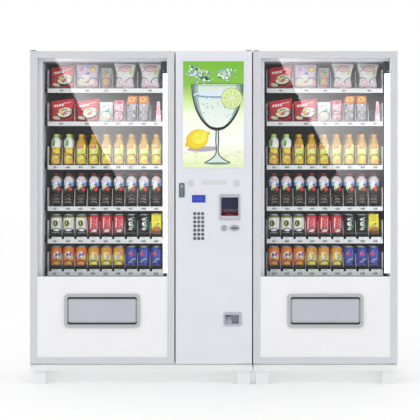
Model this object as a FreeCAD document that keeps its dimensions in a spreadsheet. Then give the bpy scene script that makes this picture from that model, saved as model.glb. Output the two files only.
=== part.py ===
import FreeCAD, Part
import math
import os
import re
import Sketcher
from FreeCAD import Placement, Rotation, Vector

# A free-standing snack vending machine: a main cabinet with a goods compartment and a
# payment column, and an add-on cabinet with a second goods compartment beside it.
# Frame: +X to the right as a customer sees it, the doors face -Y, +Z up, millimetres.
# The origin is on the floor under the middle of the bounding box.

# Driving dimensions. Each one is a cell of the sheet, and its name is the cell's alias.
DIMS = {
    # whole machine
    "total_width": 2132, "total_height": 1940, "total_depth": 795,
    "sheet_thick": 3, "flange_wide": 30, "cabinet_gap": 2,
    # how far a cutting tool runs past the face it cuts
    "past": 5,
    # legs and plinth
    "leg_side": 72, "leg_height": 78, "leg_inset": 17, "leg_setback": 25,
    "plinth_height": 37, "board_thick": 30, "plinth_setback": 15, "plinth_side": 2,
    # doors
    "door_width": 837, "centre_width": 442, "door_spacing": 8, "door_thick": 45,
    "door_low": 121, "door_top_gap": 6, "door_seal_gap": 10, "trim_proud": 7.5,
    "stile_wide": 40, "top_rail": 38, "bottom_rail": 36,
    "glass_low": 623, "glass_thick": 6, "glass_setback": 6,
    "panel_thick": 8, "panel_setback": 4,
    # door hinges
    "pivot_inset": 18, "pivot_setback": 10, "pin_radius": 5, "pin_play": 0.05,
    "pin_length": 30, "pin_end_gap": 2,
    "hinge_half": 16, "hinge_thick": 4, "hinge_reach": 92, "hinge_nose": 2,
    # delivery port
    "port_height": 428, "bezel_wide": 440, "bezel_high": 195, "port_wide": 403, "port_high": 160,
    "bezel_corner": 24, "port_corner": 12,
    "flap_wide": 388, "flap_high": 141, "flap_thick": 3, "flap_setback": 4.5,
    "flap_pin_radius": 2, "flap_pin_drop": 2, "flap_pin_into": 5, "flap_pin_gap": 0.5,
    "flap_corner": 6,
    # insulated goods compartment
    "liner_left": 66, "liner_right": 796, "ceiling_low": 1880, "liner_back": 330,
    "deck_low": 596, "deck_high": 620, "shaft_back": -180,
    # trays
    "tray_left": 84, "tray_wide": 686, "tray_front": -215, "tray_back": 265, "tray_thick": 3,
    "tray_side_thick": 2, "tray_side_high": 112, "tray_back_high": 90,
    "level_one": 1728, "level_two": 1532, "level_three": 1274.5,
    "level_four": 1030, "level_five": 838, "level_six": 647,
    "lane_start": 92.2, "lane_pitch": 74.4,
    "divider_thick": 1.6, "divider_high": 106, "divider_nose": 48, "divider_short": 4,
    "price_rail_high": 26, "price_rail_thick": 4,
    "runner_wide": 16, "runner_high": 18,
    # vending coils and their motors
    "coil_radius": 30, "coil_wire": 1.6, "coil_pitch": 62, "coil_lift": 34, "coil_front": -205,
    "coil_plate_radius": 31, "coil_plate_thick": 4, "coil_shaft_radius": 4,
    "motor_wide": 54, "motor_deep": 40, "motor_high": 60, "motor_lift": 6, "motor_gap": 2,
    # compartment light
    "lamp_left": 770, "lamp_deep": 18, "lamp_low": 640, "lamp_high": 1816, "lamp_wide": 26,
    "lamp_setback": 1,
    # collection bin under the drop shaft
    "bin_left": 72, "bin_wide": 694, "bin_low": 312, "bin_lip": 30,
    # cooling machinery and rear
    "cooler_left": 110, "cooler_wide": 600, "cooler_front": -150, "cooler_deep": 460,
    "condenser_high": 260, "condenser_thick": 60, "compressor_radius": 78, "compressor_high": 190,
    "condenser_inset": 20, "condenser_behind": 40, "compressor_across": 444,
    "fan_radius": 105, "fan_thick": 30,
    "grille_high": 560, "slot_high": 9, "slot_pitch": 24, "slot_wide": 560, "slot_first": 60,
    "inlet_wide": 48, "inlet_high": 30, "inlet_deep": 28, "inlet_recess": 18, "inlet_rim": 6,
    "inlet_centre": 0, "inlet_height": 240,
    # advert panel
    "advert_centre": -2, "advert_height": 1568, "advert_wide": 356, "advert_high": 617,
    "advert_thick": 3, "advert_corner": 3,
    # keypad
    "fascia_centre": -87.5, "fascia_height": 968.5, "fascia_wide": 113, "fascia_high": 295,
    "fascia_thick": 2, "fascia_corner": 5,
    "screen_height": 1077, "screen_wide": 80, "screen_high": 46, "screen_play": 0.5,
    "screen_setback": 1, "screen_deep": 14,
    "key_radius": 9, "key_play": 0.5, "key_long": 8, "key_proud": 4.2, "key_round": 1.2,
    "key_column_pitch": 23, "key_row_pitch": 24, "key_top_height": 991,
    "key_well_wide": 76, "key_well_high": 168, "key_well_height": 919,
    # bill acceptor
    "bill_centre": 92.5, "bill_height": 1028.5, "bill_wide": 123, "bill_high": 151,
    "bill_corner": 8, "bill_window_wide": 101, "bill_window_high": 110, "bill_window_deep": 3,
    "bill_window_height": 1031, "bill_body_wide": 96, "bill_body_high": 120, "bill_body_deep": 88,
    "mouth_wide": 74, "mouth_high": 7, "mouth_height": 1006, "mouth_deep": 60,
    # coin slot, coin return and coin cup
    "coin_height": 907, "coin_slot_centre": 121, "coin_plate_long": 29.5, "coin_plate_short": 17.5,
    "coin_plate_thick": 5, "coin_slot_wide": 34, "coin_slot_high": 6, "coin_hole_play": 4,
    "return_centre": 61, "return_radius": 17.2, "return_play": 0.5, "return_long": 11,
    "return_proud": 4.5, "return_round": 1.5,
    "cup_centre": 109.5, "cup_height": 379.5, "cup_wide": 107, "cup_high": 81, "cup_proud": 5,
    "cup_corner": 14, "cavity_centre": 106, "cavity_height": 378, "cavity_wide": 80,
    "cavity_high": 52, "cavity_deep": 42, "cup_wall": 3, "ramp_wide": 40, "ramp_high": 40,
    "ramp_front": 6,
    # door lock
    "lock_centre": -185.5, "lock_height": 1127, "lock_wide": 33, "lock_high": 84, "lock_corner": 6,
    "lock_proud": 4, "lock_deep": 14, "handle_wide": 24, "handle_high": 74, "handle_play": 0.5,
    "handle_proud": 5.5, "handle_thick": 9,
    "lock_wall": 3, "handle_corner": 5,
    # machinery of the payment column
    "control_left": -180, "control_wide": 320, "control_front": 120, "control_deep": 200,
    "control_low": 1180, "control_high": 340,
    "cash_left": -60, "cash_wide": 210, "cash_front": -240, "cash_deep": 190,
    "cash_low": 430, "cash_high": 130,
}

# Sizes worked out from the driving ones, as formulas.
DERIVED = {
    "half_wide": "total_width / 2",
    "front": "-total_depth / 2",
    "back": "total_depth / 2",
    "door_face": "front + trim_proud",
    "door_back": "door_face + door_thick",
    "shell_front": "door_back + door_seal_gap",
    "back_inner": "back - sheet_thick",
    "plinth_top": "leg_height + plinth_height",
    "shell_top": "total_height - hinge_thick",
    "top_inner": "shell_top - sheet_thick",
    "bottom_inner": "plinth_top + sheet_thick",
    "door_high": "total_height - door_top_gap",
    "glass_high": "door_high - top_rail",
    "panel_low": "door_low + bottom_rail",
    "panel_front": "door_face + panel_setback",
    "door_pitch": "door_width + centre_width + 2 * door_spacing",
    "centre_edge": "centre_width / 2",
    "seam": "centre_edge + door_spacing - cabinet_gap",
    "main_right": "seam - cabinet_gap / 2",
    "side_left": "seam + cabinet_gap / 2",
    "partition": "-centre_edge - door_spacing - sheet_thick",
    "pivot_y": "door_face + pivot_setback",
    "skin_back": "door_face + sheet_thick",
    "flap_front": "front + flap_setback",
    "flap_top": "port_height + flap_high / 2",
    "flap_pivot_z": "flap_top - flap_pin_drop",
    "flap_pivot_y": "flap_front + flap_thick / 2",
    "motor_front": "tray_back + motor_gap",
    "fascia_front": "door_face - fascia_thick",
    "lock_body_wide": "handle_wide + 2 * lock_wall",
    "lock_body_high": "handle_high + 2 * lock_wall",
    "cup_body_wide": "cavity_wide + 2 * cup_wall",
    "cup_body_high": "cavity_high + 2 * cup_wall",
    "cavity_back": "door_face + cavity_deep",
}

LEVELS = ["level_one", "level_two", "level_three", "level_four", "level_five", "level_six"]
# How many of the nine coil positions each lane takes, tray by tray from the top.
LANES = [(2, 2, 1, 2, 2), (2, 2, 1, 1, 1, 1, 1)] + 4 * [(1,) * 9]
COIL_POSITIONS = 9
COIL_TURNS = 7
SEGMENTS_PER_TURN = 10
KEY_COLUMNS = 3
KEY_ROWS = 7
SLOT_COUNT = 14
# Two places closer than this, in millimetres, are the same place.
TOUCH = 1e-6

doc = FreeCAD.newDocument("vending_machine")
nodes = []


# ---------------------------------------------------------------- the sheet and the helpers

def make_sheet():
    """Write every driving dimension into its own cell, and name the cell after it."""
    made = doc.addObject("Spreadsheet::Sheet", "dims")
    for row, (alias, size) in enumerate(DIMS.items(), start=1):
        made.set(f"A{row}", alias)
        made.set(f"B{row}", str(size))
        made.setAlias(f"B{row}", alias)
    doc.recompute()
    return made


def bound(formula):
    """Turn the words of a formula into references to the sheet's cells."""
    def swap(match):
        word = match.group()
        if word in DERIVED:
            return "(" + bound(DERIVED[word]) + ")"
        return "dims." + word if word in DIMS else word
    return re.sub(r"[a-z][a-z_]*", swap, str(formula))


def value(formula):
    """The number that a formula gives, for the few shapes that code has to work out."""
    return float(sheet.evalExpression(bound(formula)))


def place(piece, at):
    """Bind a piece's position to three formulas."""
    for axis, formula in zip("xyz", at):
        piece.setExpression(f"Placement.Base.{axis}", bound(formula))


def box(low, high):
    """A box between two opposite corners, each given as three formulas."""
    piece = doc.addObject("Part::Box", "block")
    for size, start, end in zip(("Length", "Width", "Height"), low, high):
        piece.setExpression(size, bound(f"({end}) - ({start})"))
    place(piece, low)
    return piece


def slab(centre, height, wide, high, y_low, y_high):
    """A box centred in X and Z, between two depths."""
    low = (f"{centre} - ({wide}) / 2", y_low, f"{height} - ({high}) / 2")
    upper = (f"{centre} + ({wide}) / 2", y_high, f"{height} + ({high}) / 2")
    return box(low, upper)


# Turns that lay a cylinder, which stands on its own axis, along Y or along X.
ALONG = {"Z": Rotation(), "Y": Rotation(Vector(1, 0, 0), -90), "X": Rotation(Vector(0, 1, 0), 90)}


def cylinder(start, radius, length, along="Z"):
    """A cylinder from the middle of its first face, along an axis of the frame."""
    piece = doc.addObject("Part::Cylinder", "round")
    piece.setExpression("Radius", bound(radius))
    piece.setExpression("Height", bound(length))
    piece.Placement = Placement(Vector(), ALONG[along])
    place(piece, start)
    return piece


def cut(base, tools):
    """Take the tools away from a solid."""
    group = doc.addObject("Part::Compound", "tools")
    group.Links = tools
    piece = doc.addObject("Part::Cut", "cut")
    piece.Base = base
    piece.Tool = group
    return piece


def fuse(pieces):
    """Weld pieces into one solid."""
    piece = doc.addObject("Part::MultiFuse", "weld")
    piece.Shapes = pieces
    piece.Refine = True
    return piece


def node(name, pieces):
    """Keep separate solids as one sub-part, or name a single one."""
    if len(pieces) == 1:
        part = pieces[0]
    else:
        part = doc.addObject("Part::Compound", name)
        part.Links = pieces
    part.Label = name
    nodes.append(part)
    return part


def add_rectangle(sketch, name, wide, high):
    """Draw a rectangle about the sketch's origin and bind its two sizes."""
    first = sketch.GeometryCount
    corners = [Vector(-1, -1), Vector(1, -1), Vector(1, 1), Vector(-1, 1)]
    for side in range(4):
        sketch.addGeometry(Part.LineSegment(corners[side], corners[(side + 1) % 4]), False)
    for side in range(4):
        after = first + (side + 1) % 4
        sketch.addConstraint(Sketcher.Constraint("Coincident", first + side, 2, after, 1))
    for side in (0, 2):
        sketch.addConstraint(Sketcher.Constraint("Horizontal", first + side))
        sketch.addConstraint(Sketcher.Constraint("Vertical", first + side + 1))
    sketch.addConstraint(Sketcher.Constraint("Symmetric", first, 1, first + 1, 2, -1, 1))
    for kind, side, size in (("DistanceX", first, wide), ("DistanceY", first + 1, high)):
        index = sketch.addConstraint(Sketcher.Constraint(kind, side, 1, side, 2, 2))
        sketch.renameConstraint(index, f"{name}_{kind}")
        sketch.setExpression(f"Constraints.{name}_{kind}", bound(size))


def round_corners(body, base, radius, wide, high):
    """Round the four depthwise edges that stand at the corners of a rectangle."""
    doc.recompute()
    corner = (value(wide) / 2, value(high) / 2)
    edges = []
    for index, edge in enumerate(base.Shape.Edges, start=1):
        middle = edge.CenterOfMass
        depthwise = edge.BoundBox.XLength < TOUCH and edge.BoundBox.ZLength < TOUCH
        at_corner = abs(abs(middle.x) - corner[0]) < TOUCH and abs(abs(middle.z) - corner[1]) < TOUCH
        if depthwise and at_corner:
            edges.append(f"Edge{index}")
    rounded = body.newObject("PartDesign::Fillet", "rounded")
    rounded.Base = (base, edges)
    rounded.setExpression("Radius", bound(radius))
    return rounded


def plate(name, centre, height, wide, high, y_low, y_high, corner, hole=None):
    """A flat plate facing the customer, with round corners and perhaps a window.

    hole is (wide, high, corner) of a window about the plate's own middle.
    """
    body = doc.addObject("PartDesign::Body", name)
    plane = [item for item in body.Origin.OriginFeatures if item.Role == "XZ_Plane"][0]
    sketch = body.newObject("Sketcher::SketchObject", "outline")
    sketch.AttachmentSupport = [(plane, "")]
    sketch.MapMode = "FlatFace"
    add_rectangle(sketch, "outer", wide, high)
    if hole:
        add_rectangle(sketch, "window", hole[0], hole[1])
    pad = body.newObject("PartDesign::Pad", "pad")
    pad.Profile = sketch
    pad.setExpression("Length", bound(f"({y_high}) - ({y_low})"))
    last = round_corners(body, pad, corner, wide, high)
    if hole:
        last = round_corners(body, last, hole[2], hole[0], hole[1])
    body.Tip = last
    place(body, (centre, y_high, height))
    return body


def cabinet_x(side, formula):
    """X of a place in a goods cabinet, counted from that cabinet's left side."""
    shift = "" if side == "left" else " + door_pitch"
    return f"-half_wide{shift} + ({formula})"


SIDES = ("left", "right")


# ---------------------------------------------------------------- cabinets and base

def bay_sheets(left, right, flange_high):
    """Bottom, top and front flanges of one bay, between two upright sheets."""
    bottom = box((left, "shell_front", "plinth_top"), (right, "back_inner", "bottom_inner"))
    top = box((left, "shell_front", "top_inner"), (right, "back_inner", "shell_top"))
    sheets = [bottom, top]
    for low_x, high_x in ((left, f"{left} + flange_wide"), (f"{right} - flange_wide", right)):
        sheets.append(box((low_x, "shell_front", "bottom_inner"),
                          (high_x, "shell_front + sheet_thick", flange_high)))
    return sheets


def upright(left, back_y):
    """A side or partition sheet, from the plinth to the top."""
    return box((left, "shell_front", "plinth_top"), (f"{left} + sheet_thick", back_y, "shell_top"))


def make_shells():
    """Both outer cabinets. The main one has a sheet between goods and payment."""
    left_inner = "-half_wide + sheet_thick"
    right_sheet = "main_right - sheet_thick"
    column_left = "partition + sheet_thick"
    main = [upright("-half_wide", "back_inner"), upright("partition", "back_inner")]
    main.append(upright(right_sheet, "back_inner"))
    main += bay_sheets(left_inner, "partition", "deck_low")
    main += bay_sheets(column_left, right_sheet, "top_inner")
    main.append(box(("-half_wide", "back_inner", "grille_high"), ("partition", "back", "shell_top")))
    column_back = box(("partition", "back_inner", "plinth_top"), ("main_right", "back", "shell_top"))
    hole = slab("inlet_centre", "inlet_height", "inlet_wide", "inlet_high",
                "back_inner - past", "back + past")
    main.append(cut(column_back, [hole]))
    node("main_cabinet_shell", main)

    right_sheet = "half_wide - sheet_thick"
    side = [upright("side_left", "back_inner"), upright(right_sheet, "back_inner")]
    side += bay_sheets("side_left + sheet_thick", right_sheet, "deck_low")
    side.append(box(("side_left", "back_inner", "grille_high"), ("half_wide", "back", "shell_top")))
    node("side_cabinet_shell", side)


def make_liners():
    """Foam-filled walls, ceiling, back and deck of both goods compartments."""
    walls = []
    for side in SIDES:
        outer_left = "-half_wide + sheet_thick" if side == "left" else "side_left + sheet_thick"
        outer_right = "partition" if side == "left" else "half_wide - sheet_thick"
        inner_left = cabinet_x(side, "liner_left")
        inner_right = cabinet_x(side, "liner_right")
        walls += [
            box((outer_left, "shell_front", "deck_low"), (inner_left, "liner_back", "top_inner")),
            box((inner_right, "shell_front", "deck_low"), (outer_right, "liner_back", "top_inner")),
            box((inner_left, "shell_front", "ceiling_low"), (inner_right, "liner_back", "top_inner")),
            box((outer_left, "liner_back", "deck_low"), (outer_right, "back_inner", "top_inner")),
            box((inner_left, "shaft_back", "deck_low"), (inner_right, "liner_back", "deck_high")),
        ]
    node("compartment_liners", walls)


def make_base():
    """A board frame under each cabinet, on four square legs each."""
    boards = []
    legs = []
    for left, right in (("-half_wide", "main_right"), ("side_left", "half_wide")):
        low_x = f"{left} + plinth_side"
        high_x = f"{right} - plinth_side"
        front_y = "front + plinth_setback"
        inner_front = "front + plinth_setback + board_thick"
        back_y = "back - plinth_side"
        inner_back = "back - plinth_side - board_thick"
        boards += [
            box((low_x, front_y, "leg_height"), (high_x, inner_front, "plinth_top")),
            box((low_x, inner_back, "leg_height"), (high_x, back_y, "plinth_top")),
            box((low_x, inner_front, "leg_height"), (f"{low_x} + board_thick", inner_back, "plinth_top")),
            box((f"{high_x} - board_thick", inner_front, "leg_height"), (high_x, inner_back, "plinth_top")),
        ]
        for x_low in (f"{left} + leg_inset", f"{right} - leg_inset - leg_side"):
            for y_low in ("front + leg_setback", "back - leg_setback - leg_side"):
                legs.append(box((x_low, y_low, 0),
                                (f"{x_low} + leg_side", f"{y_low} + leg_side", "leg_height")))
    node("base_plinths", boards)
    node("support_legs", legs)


# ---------------------------------------------------------------- inside the goods compartments

def coil_centre(side, position):
    """X of the middle of a coil position, counted from 0."""
    return cabinet_x(side, f"lane_start + lane_pitch * {position + 0.5}")


def divider(x_middle, floor):
    """A thin wall between two lanes, with a sloping nose."""
    wall = doc.addObject("Part::Wedge", "divider")
    long = "tray_back - tray_side_thick - tray_front - 2 * divider_short"
    limits = {
        "Xmin": "0", "Xmax": "divider_thick", "Ymin": "0", "Ymax": "divider_high",
        "Zmin": "0", "Zmax": long, "X2min": "0", "X2max": "divider_thick",
        "Z2min": "0", "Z2max": f"{long} - divider_nose",
    }
    for limit, formula in limits.items():
        wall.setExpression(limit, bound(formula))
    wall.Placement = Placement(Vector(), Rotation(Vector(1, 0, 0), 90))
    place(wall, (f"{x_middle} - divider_thick / 2", "tray_back - tray_side_thick - divider_short", floor))
    return wall


def make_trays():
    """Six trays a cabinet, each with its dividers, price rail, runners and motors."""
    trays, dividers, rails, runners, motors = [], [], [], [], []
    for side in SIDES:
        left = cabinet_x(side, "tray_left")
        right = cabinet_x(side, "tray_left + tray_wide")
        for level, lanes in zip(LEVELS, LANES):
            under = f"{level} - tray_thick"
            back_plate = box((f"{left} + tray_side_thick", "tray_back - tray_side_thick", level),
                             (f"{right} - tray_side_thick", "tray_back", f"{level} + tray_back_high"))
            if level == "level_two":
                hole = cylinder((coil_centre(side, COIL_POSITIONS - 1), "tray_back - tray_side_thick - past",
                                 f"{level} + coil_lift"), "coil_shaft_radius + pin_play",
                                "tray_side_thick + 2 * past", "Y")
                back_plate = cut(back_plate, [hole])
            trays += [
                box((left, "tray_front", under), (right, "tray_back", level)),
                box((left, "tray_front", level),
                    (f"{left} + tray_side_thick", "tray_back", f"{level} + tray_side_high")),
                box((f"{right} - tray_side_thick", "tray_front", level),
                    (right, "tray_back", f"{level} + tray_side_high")),
                back_plate,
            ]
            edge = 0
            for width in lanes[:-1]:
                edge += width
                dividers.append(divider(cabinet_x(side, f"lane_start + lane_pitch * {edge}"), level))
            rails.append(box((left, "tray_front - price_rail_thick", f"{level} - price_rail_high"),
                             (right, "tray_front", level)))
            runner_low = f"{level} - tray_thick - runner_high"
            wall = cabinet_x(side, "liner_left")
            runners.append(box((wall, "tray_front", runner_low),
                               (f"{left} + runner_wide", "tray_back", under)))
            wall = cabinet_x(side, "liner_right")
            runners.append(box((f"{right} - runner_wide", "tray_front", runner_low),
                               (wall, "tray_back", under)))
            for position in range(COIL_POSITIONS):
                middle = coil_centre(side, position)
                motors.append(box((f"{middle} - motor_wide / 2", "motor_front", f"{level} + motor_lift"),
                                  (f"{middle} + motor_wide / 2", "motor_front + motor_deep",
                                   f"{level} + motor_lift + motor_high")))
    node("shelf_trays", trays)
    node("lane_dividers", dividers)
    node("price_rails", rails)
    node("tray_runners", runners)
    node("vend_motors", motors)


def coil_shape():
    """A square wire wound about Y, in straight runs, starting at the origin's Z axis height."""
    radius = value("coil_radius")
    pitch = value("coil_pitch")
    half_wire = value("coil_wire")
    points = []
    for step in range(COIL_TURNS * SEGMENTS_PER_TURN + 1):
        turns = step / SEGMENTS_PER_TURN
        angle = 2 * math.pi * turns
        points.append(Vector(radius * math.cos(angle), pitch * turns, radius * math.sin(angle)))
    path = Part.makePolygon(points)
    along = (points[1] - points[0]).normalize()
    across = along.cross(Vector(1, 0, 0)).normalize()
    outward = along.cross(across)
    corners = [points[0] + across * half_wire * a + outward * half_wire * b
               for a, b in ((1, 1), (-1, 1), (-1, -1), (1, -1), (1, 1))]
    return path.makePipeShell([Part.makePolygon(corners)], True, True, 1)


def make_spiral(name, side):
    """The turning coil of the last lane of the second tray, with its drive plate and shaft."""
    centre = coil_centre(side, COIL_POSITIONS - 1)
    height = "level_two + coil_lift"
    plate_front = f"coil_front + coil_pitch * {COIL_TURNS} + coil_wire * 1.5"
    coil = doc.addObject("Part::Feature", "coil")
    coil.Shape = coil_shape()
    place(coil, (centre, "coil_front", height))
    drive_plate = cylinder((centre, plate_front, height), "coil_plate_radius", "coil_plate_thick", "Y")
    shaft = cylinder((centre, f"{plate_front} + coil_plate_thick", height), "coil_shaft_radius",
                     f"tray_back - ({plate_front}) - coil_plate_thick", "Y")
    node(name, [coil, fuse([drive_plate, shaft])])


def make_lights():
    """One upright lamp at the right front of each goods compartment."""
    strips = []
    for side in SIDES:
        front_y = "shell_front + lamp_setback"
        strips.append(box((cabinet_x(side, "lamp_left"), front_y, "lamp_low"),
                          (cabinet_x(side, "lamp_left + lamp_wide"), f"{front_y} + lamp_deep", "lamp_high")))
    node("light_strips", strips)


def make_bins():
    """The open-topped bin that catches what falls down the shaft behind each door."""
    sheets = []
    for side in SIDES:
        left = cabinet_x(side, "bin_left")
        right = cabinet_x(side, "bin_left + bin_wide")
        floor = "bin_low + sheet_thick"
        bin_back = "shaft_back - sheet_thick"
        front_inner = "shell_front + 2 * sheet_thick"
        sheets += [
            box((left, "shell_front + sheet_thick", "bin_low"), (right, "shaft_back", floor)),
            box((left, bin_back, floor), (right, "shaft_back", "deck_low")),
            box((left, "shell_front + sheet_thick", floor), (right, front_inner, f"{floor} + bin_lip")),
            box((left, front_inner, floor), (f"{left} + sheet_thick", bin_back, "deck_low")),
            box((f"{right} - sheet_thick", front_inner, floor), (right, bin_back, "deck_low")),
        ]
    node("collection_bins", sheets)


def make_coolers():
    """A compressor, a condenser and a fan on a tray, low at the back of each cabinet."""
    pieces = []
    for side in SIDES:
        left = cabinet_x(side, "cooler_left")
        right = cabinet_x(side, "cooler_left + cooler_wide")
        floor = "bottom_inner + sheet_thick"
        rear = "cooler_front + cooler_deep"
        condenser_front = f"{rear} - condenser_thick - condenser_behind"
        condenser_left = f"{left} + condenser_inset"
        condenser_right = f"{left} + cooler_wide / 2"
        pieces += [
            box((left, "cooler_front", "bottom_inner"), (right, rear, floor)),
            box((condenser_left, condenser_front, floor),
                (condenser_right, f"{condenser_front} + condenser_thick", f"{floor} + condenser_high")),
            cylinder((f"{left} + compressor_across", "cooler_front + cooler_deep / 2", floor),
                     "compressor_radius", "compressor_high"),
            cylinder((f"({condenser_left} + {condenser_right}) / 2", f"{condenser_front} - fan_thick",
                      f"{floor} + condenser_high / 2"), "fan_radius", "fan_thick", "Y"),
        ]
    node("cooling_units", pieces)


def make_rear():
    """Slotted plates over the machinery, and the mains inlet in the column's back."""
    plates = []
    spans = (("-half_wide", "partition"), ("side_left", "half_wide"))
    for left, right in spans:
        blank = box((left, "back_inner", "plinth_top"), (right, "back", "grille_high"))
        slots = []
        for index in range(SLOT_COUNT):
            height = f"plinth_top + slot_first + slot_pitch * {index}"
            slots.append(slab(f"({left} + {right}) / 2", height, "slot_wide", "slot_high",
                              "back_inner - past", "back + past"))
        plates.append(cut(blank, slots))
    node("rear_grilles", plates)
    shell = slab("inlet_centre", "inlet_height", "inlet_wide", "inlet_high", "back - inlet_deep", "back")
    recess = slab("inlet_centre", "inlet_height", "inlet_wide - 2 * inlet_rim",
                  "inlet_high - 2 * inlet_rim", "back - inlet_recess", "back + past")
    node("power_inlet", [cut(shell, [recess])])


def make_payment_modules():
    """The control box and the cash box inside the payment column."""
    control = box(("control_left", "control_front", "control_low"),
                  ("control_left + control_wide", "control_front + control_deep",
                   "control_low + control_high"))
    control_shelf = box(("partition + sheet_thick", "control_front", "control_low - sheet_thick"),
                        ("main_right - sheet_thick", "back_inner", "control_low"))
    cash = box(("cash_left", "cash_front", "cash_low"),
               ("cash_left + cash_wide", "cash_front + cash_deep", "cash_low + cash_high"))
    cash_shelf = box(("partition + sheet_thick", "cash_front", "cash_low - sheet_thick"),
                     ("main_right - sheet_thick", "back_inner", "cash_low"))
    node("payment_modules", [control, control_shelf, cash, cash_shelf])


# ---------------------------------------------------------------- hinges and doors

def pivot_x(door):
    """X of a door's hinge line. The centre door turns on its right edge, the others on their left."""
    if door == "centre":
        return "centre_edge - pivot_inset"
    return cabinet_x(door, "pivot_inset")


def make_hinges():
    """A plate and a pin above and below each door."""
    pieces = []
    for door in ("left", "centre", "right"):
        middle = pivot_x(door)
        low_x = f"{middle} - hinge_half"
        high_x = f"{middle} + hinge_half"
        nose = "door_face - hinge_nose"
        pieces += [
            box((low_x, nose, "shell_top"), (high_x, f"{nose} + hinge_reach", "total_height")),
            cylinder((middle, "pivot_y", "shell_top - pin_length"), "pin_radius", "pin_length"),
            box((low_x, nose, "plinth_top"), (high_x, "shell_front", "plinth_top + hinge_thick")),
            cylinder((middle, "pivot_y", "plinth_top + hinge_thick"), "pin_radius", "pin_length"),
        ]
    node("hinge_brackets", pieces)


def pin_holes(door):
    """The two blind holes in which a door turns on its pins."""
    middle = pivot_x(door)
    radius = "pin_radius + pin_play"
    return [
        cylinder((middle, "pivot_y", "shell_top - pin_length - pin_end_gap"), radius,
                 "pin_length + 2 * past"),
        cylinder((middle, "pivot_y", "plinth_top - past"), radius,
                 "pin_length + hinge_thick + past + pin_end_gap"),
    ]


def make_goods_door(side):
    """A frame of four bars, a pane, a lower panel and the delivery port with its flap."""
    left = cabinet_x(side, "0")
    right = cabinet_x(side, "door_width")
    inner_left = cabinet_x(side, "stile_wide")
    inner_right = cabinet_x(side, "door_width - stile_wide")
    middle = cabinet_x(side, "door_width / 2")

    hinge_stile = box((left, "door_face", "door_low"), (inner_left, "door_back", "door_high"))
    node(f"{side}_door_frame", [
        cut(hinge_stile, pin_holes(side)),
        box((inner_right, "door_face", "door_low"), (right, "door_back", "door_high")),
        box((inner_left, "door_face", "glass_high"), (inner_right, "door_back", "door_high")),
        box((inner_left, "door_face", "door_low"), (inner_right, "door_back", "panel_low")),
    ])
    pane_front = "door_face + glass_setback"
    node(f"{side}_glass", [box((inner_left, pane_front, "glass_low"),
                               (inner_right, f"{pane_front} + glass_thick", "glass_high"))])
    blank = box((inner_left, "panel_front", "panel_low"),
                (inner_right, "panel_front + panel_thick", "glass_low"))
    port = slab(middle, "port_height", "port_wide", "port_high",
                "panel_front - past", "panel_front + panel_thick + past")
    node(f"{side}_lower_panel", [cut(blank, [port])])

    ring = plate(f"{side}_bezel_ring", middle, "port_height", "bezel_wide", "bezel_high",
                 "front", "panel_front", "bezel_corner", ("port_wide", "port_high", "port_corner"))
    sockets = []
    for start in (f"{middle} - port_wide / 2 - flap_pin_into", f"{middle} + port_wide / 2 - flap_pin_into"):
        sockets.append(cylinder((start, "flap_pivot_y", "flap_pivot_z"), "flap_pin_radius + pin_play",
                                "2 * flap_pin_into", "X"))
    node(f"{side}_delivery_bezel", [cut(ring, sockets)])

    leaf = plate(f"{side}_flap_leaf", middle, "port_height", "flap_wide", "flap_high", "flap_front",
                 "flap_front + flap_thick", "flap_corner")
    pin_long = "(port_wide - flap_wide) / 2 + flap_pin_into + 2 * flap_corner"
    pins = []
    for start in (f"{middle} - port_wide / 2 - flap_pin_into + flap_pin_gap",
                  f"{middle} + port_wide / 2 + flap_pin_into - flap_pin_gap - ({pin_long})"):
        pins.append(cylinder((start, "flap_pivot_y", "flap_pivot_z"), "flap_pin_radius", pin_long, "X"))
    node(f"{side}_delivery_flap", [fuse([leaf] + pins)])


def make_centre_door():
    """A folded sheet door, hollow behind, with a hole for each thing mounted in it."""
    slab_door = box(("-centre_edge", "door_face", "door_low"), ("centre_edge", "door_back", "door_high"))
    fold = "2 * sheet_thick"
    hollow = box((f"-centre_edge + {fold}", "skin_back", f"door_low + {fold}"),
                 (f"centre_edge - {fold}", "door_back + past", f"door_high - {fold}"))
    skin = ("door_face - past", "skin_back + sheet_thick")
    holes = [
        hollow,
        slab("fascia_centre", "screen_height", "screen_wide + fascia_thick",
             "screen_high + fascia_thick", *skin),
        slab("fascia_centre", "key_well_height", "key_well_wide", "key_well_high", *skin),
        slab("bill_centre", "bill_height", "bill_body_wide", "bill_body_high", *skin),
        slab("coin_slot_centre", "coin_height", "coin_slot_wide + coin_hole_play",
             "coin_slot_high + coin_hole_play", *skin),
        cylinder(("return_centre", "door_face - past", "coin_height"), "return_radius + return_play",
                 "2 * past", "Y"),
        slab("cavity_centre", "cavity_height", "cup_body_wide", "cup_body_high", *skin),
        slab("lock_centre", "lock_height", "lock_body_wide", "lock_body_high", *skin),
    ]
    node("centre_door_panel", [cut(slab_door, [fuse(holes)] + pin_holes("centre"))])
    board = plate("advert_board", "advert_centre", "advert_height", "advert_wide", "advert_high",
                  "door_face - advert_thick", "door_face", "advert_corner")
    node("advert_panel", [board])


def key_place(column, row):
    """X and Z of a key's middle, counted from the top left key."""
    offset = column - (KEY_COLUMNS - 1) / 2
    return f"fascia_centre + key_column_pitch * {offset}", f"key_top_height - key_row_pitch * {row}"


def rounded_button(name, centre, height, radius, y_low, long, rounding):
    """A round push button with a softened front rim."""
    stub = cylinder((centre, y_low, height), radius, long, "Y")
    doc.recompute()
    front_y = value(y_low)
    rim = [index for index, edge in enumerate(stub.Shape.Edges, start=1)
           if abs(edge.BoundBox.YMax - front_y) < 1e-6]
    button = doc.addObject("Part::Fillet", name)
    button.Base = stub
    size = value(rounding)
    button.Edges = [(index, size, size) for index in rim]
    return button


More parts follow.
